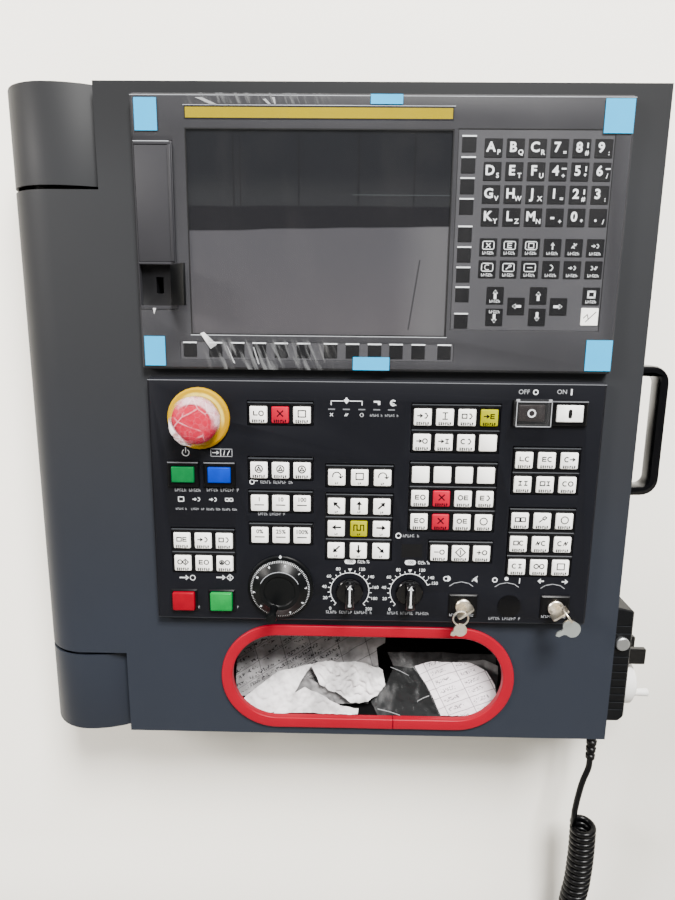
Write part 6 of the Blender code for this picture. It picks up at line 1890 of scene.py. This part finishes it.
class StationPapers(bpy.types.Operator):
    """Fills the pocket with handled papers and clear bags"""

    bl_idname = "station.papers"
    bl_label = "Papers"

    def execute(self, context):
        # The two darker papers are painted shade for sheets deep in the pocket and in its folds.
        tones = ["paper", "bag_paper", "form", "dim_paper", "fold_paper"]
        body = body_of("documents")
        for name, sheets, finishes, lean, near, replaces in (
            ("paper_sheets", BACK_SHEETS, tones, 0.2, -81.5, ["documents"]),
            ("paper_fronts", FRONT_SHEETS, tones, 0.45, -99.0, ()),
            ("clear_bag", BAG, "bag", 0.45, -100.0, ()),
        ):
            build = Build()
            for outline, depth, fold, seed, tone in sheets:
                self.sheet(build, outline, depth, fold, seed, tone, lean, near)
            build.piece(name, finishes, body, "paper", replaces, 40)
        # Painted highlights: pale slivers on the folds of the clear bag.
        glints = Build()
        for (ax, az), (bx, bz), wide in (
            ((297, -234), (315, -241), 0.5), ((323, -263), (335, -258), 0.8), ((284, -270), (306, -275), 0.8),
            ((319, -233), (330, -246), 0.5), ((330, -246), (341, -266), 0.5), ((341, -266), (346, -277), 0.5),
        ):
            ay, by = (-84.5 + 0.45 * (z + 235) for z in (az, bz))
            middle = ((ax + bx) / 2, (ay + by) / 2 - 0.3, (az + bz) / 2 + 0.8)
            half = wide / 2
            corners = ((-0.3, -half), (-0.3, half), (0, half), (0, -half))
            glints.skin([
                [(x / 1000, (y + deep) / 1000, (z + up) / 1000) for deep, up in corners]
                for x, y, z in ((ax, ay, az), middle, (bx, by, bz))
            ])
        glints.piece("bag_glints", "glint", body, "paper")
        return {"FINISHED"}

    def sheet(self, build, outline, depth, fold, seed, finish, lean, near):
        """A thin crumpled sheet with an outline in millimetres, leaning out at its foot as far as near."""
        cx = sum(x for x, _ in outline) / len(outline)
        cz = sum(z for _, z in outline) / len(outline)
        rim = []
        for (ax, az), (bx, bz) in zip(outline, outline[1:] + outline[:1]):
            steps = max(2, round(math.hypot(bx - ax, bz - az) / 1.6))
            rim += [(ax + (bx - ax) * i / steps, az + (bz - az) * i / steps) for i in range(steps)]
        rings = 26
        left, right, floor, back = 138.5, 408.0, -279.5, -50.0
        layers = []
        for thick in (0.0, 0.3):
            layer = []
            for ring in range(rings + 1):
                share = 1 - ring / (rings + 0.5)
                line = []
                for x, z in rim:
                    px, pz = cx + (x - cx) * share, cz + (z - cz) * share
                    spot = Vector((px / 17, pz / 17, seed))
                    sharp = 1 - abs(noise.noise(spot * 1.3)) * 2.4
                    ridge = 1 - abs(noise.noise(spot * 2.7 + Vector((3, 9, 0)))) * 2.6
                    rough = 0.8 * noise.noise(spot * 0.6) + 0.3 * sharp + 0.22 * ridge
                    y = depth + fold * (rough + 0.16 * noise.noise(spot * 4.2))
                    y = max(near, min(back, y + lean * (pz + 235))) + thick
                    px = min(right, max(left, px + 1.2 * noise.noise(spot * 0.9 + Vector((7, 0, 0)))))
                    pz = max(floor, pz + 1.2 * noise.noise(spot * 0.9 + Vector((0, 7, 0))))
                    line.append((px / 1000, y / 1000, pz / 1000))
                layer.append(line)
            layers.append(layer)
        near_side, far_side = layers
        build.skin(near_side[::-1] + far_side, finish)


class StationPendant(bpy.types.Operator):
    """Dresses the hand pendant on its hanger"""

    bl_idname = "station.pendant"
    bl_label = "Pendant"

    def execute(self, context):
        for node, finish, slot in (
            ("pendant_body", "rubber", "pendant_plastic"), ("pendant_hanger", "gloss", "gloss_black"),
            ("pendant_gland", "cord", "cord_black"), ("pendant_dial", "pale", "nickel"),
            ("pendant_crank", "pale", "lens_white"), ("pendant_axis_knob", "gloss", "gloss_black"),
            ("pendant_scale_knob", "gloss", "gloss_black"), ("pendant_enable_button", "steel", "nickel"),
        ):
            dressed(node, finish, smooth=38)
        # Painted highlights: thin grey lines along the edges of the pendant's ribs.
        edges = [(0.5155, -0.0820, -0.1866 - 0.0083 * i, 0, 0.0350, 0.00035) for i in range(12) if i != 2]
        repeated("pendant_rib_edges", brick_item(), edges, "bar_top", "panel")
        return {"FINISHED"}


PIECE_OPERATORS = (
    StationStage, StationCord, StationShell, StationDisplay, StationTextKeys, StationOperatorKeys,
    StationPrints, StationButtons, StationStop, StationWheels, StationLocks, StationPapers, StationPendant,
)


class STATION_PT_panel(bpy.types.Panel):
    """The station's pieces and settings"""

    bl_idname = "STATION_PT_panel"
    bl_label = "Lathe station"
    bl_space_type = "VIEW_3D"
    bl_region_type = "UI"
    bl_category = "Station"

    def draw(self, context):
        for group in (context.scene.station_sizes, context.scene.station_colours):
            column = self.layout.column()
            for word in group.__annotations__:
                column.prop(group, word)
        for operator in PIECE_OPERATORS:
            self.layout.operator(operator.bl_idname)


CLASSES = (StationSizes, StationColours, *PIECE_OPERATORS, STATION_PT_panel)


def register():
    for made in CLASSES:
        bpy.utils.register_class(made)
    bpy.types.Scene.station_sizes = bpy.props.PointerProperty(type=StationSizes)
    bpy.types.Scene.station_colours = bpy.props.PointerProperty(type=StationColours)


def unregister():
    del bpy.types.Scene.station_colours
    del bpy.types.Scene.station_sizes
    for made in reversed(CLASSES):
        bpy.utils.unregister_class(made)


def main():
    register()
    for operator in PIECE_OPERATORS:
        group, name = operator.bl_idname.split(".")
        getattr(getattr(bpy.ops, group), name)()


if __name__ == "__main__":
    main()
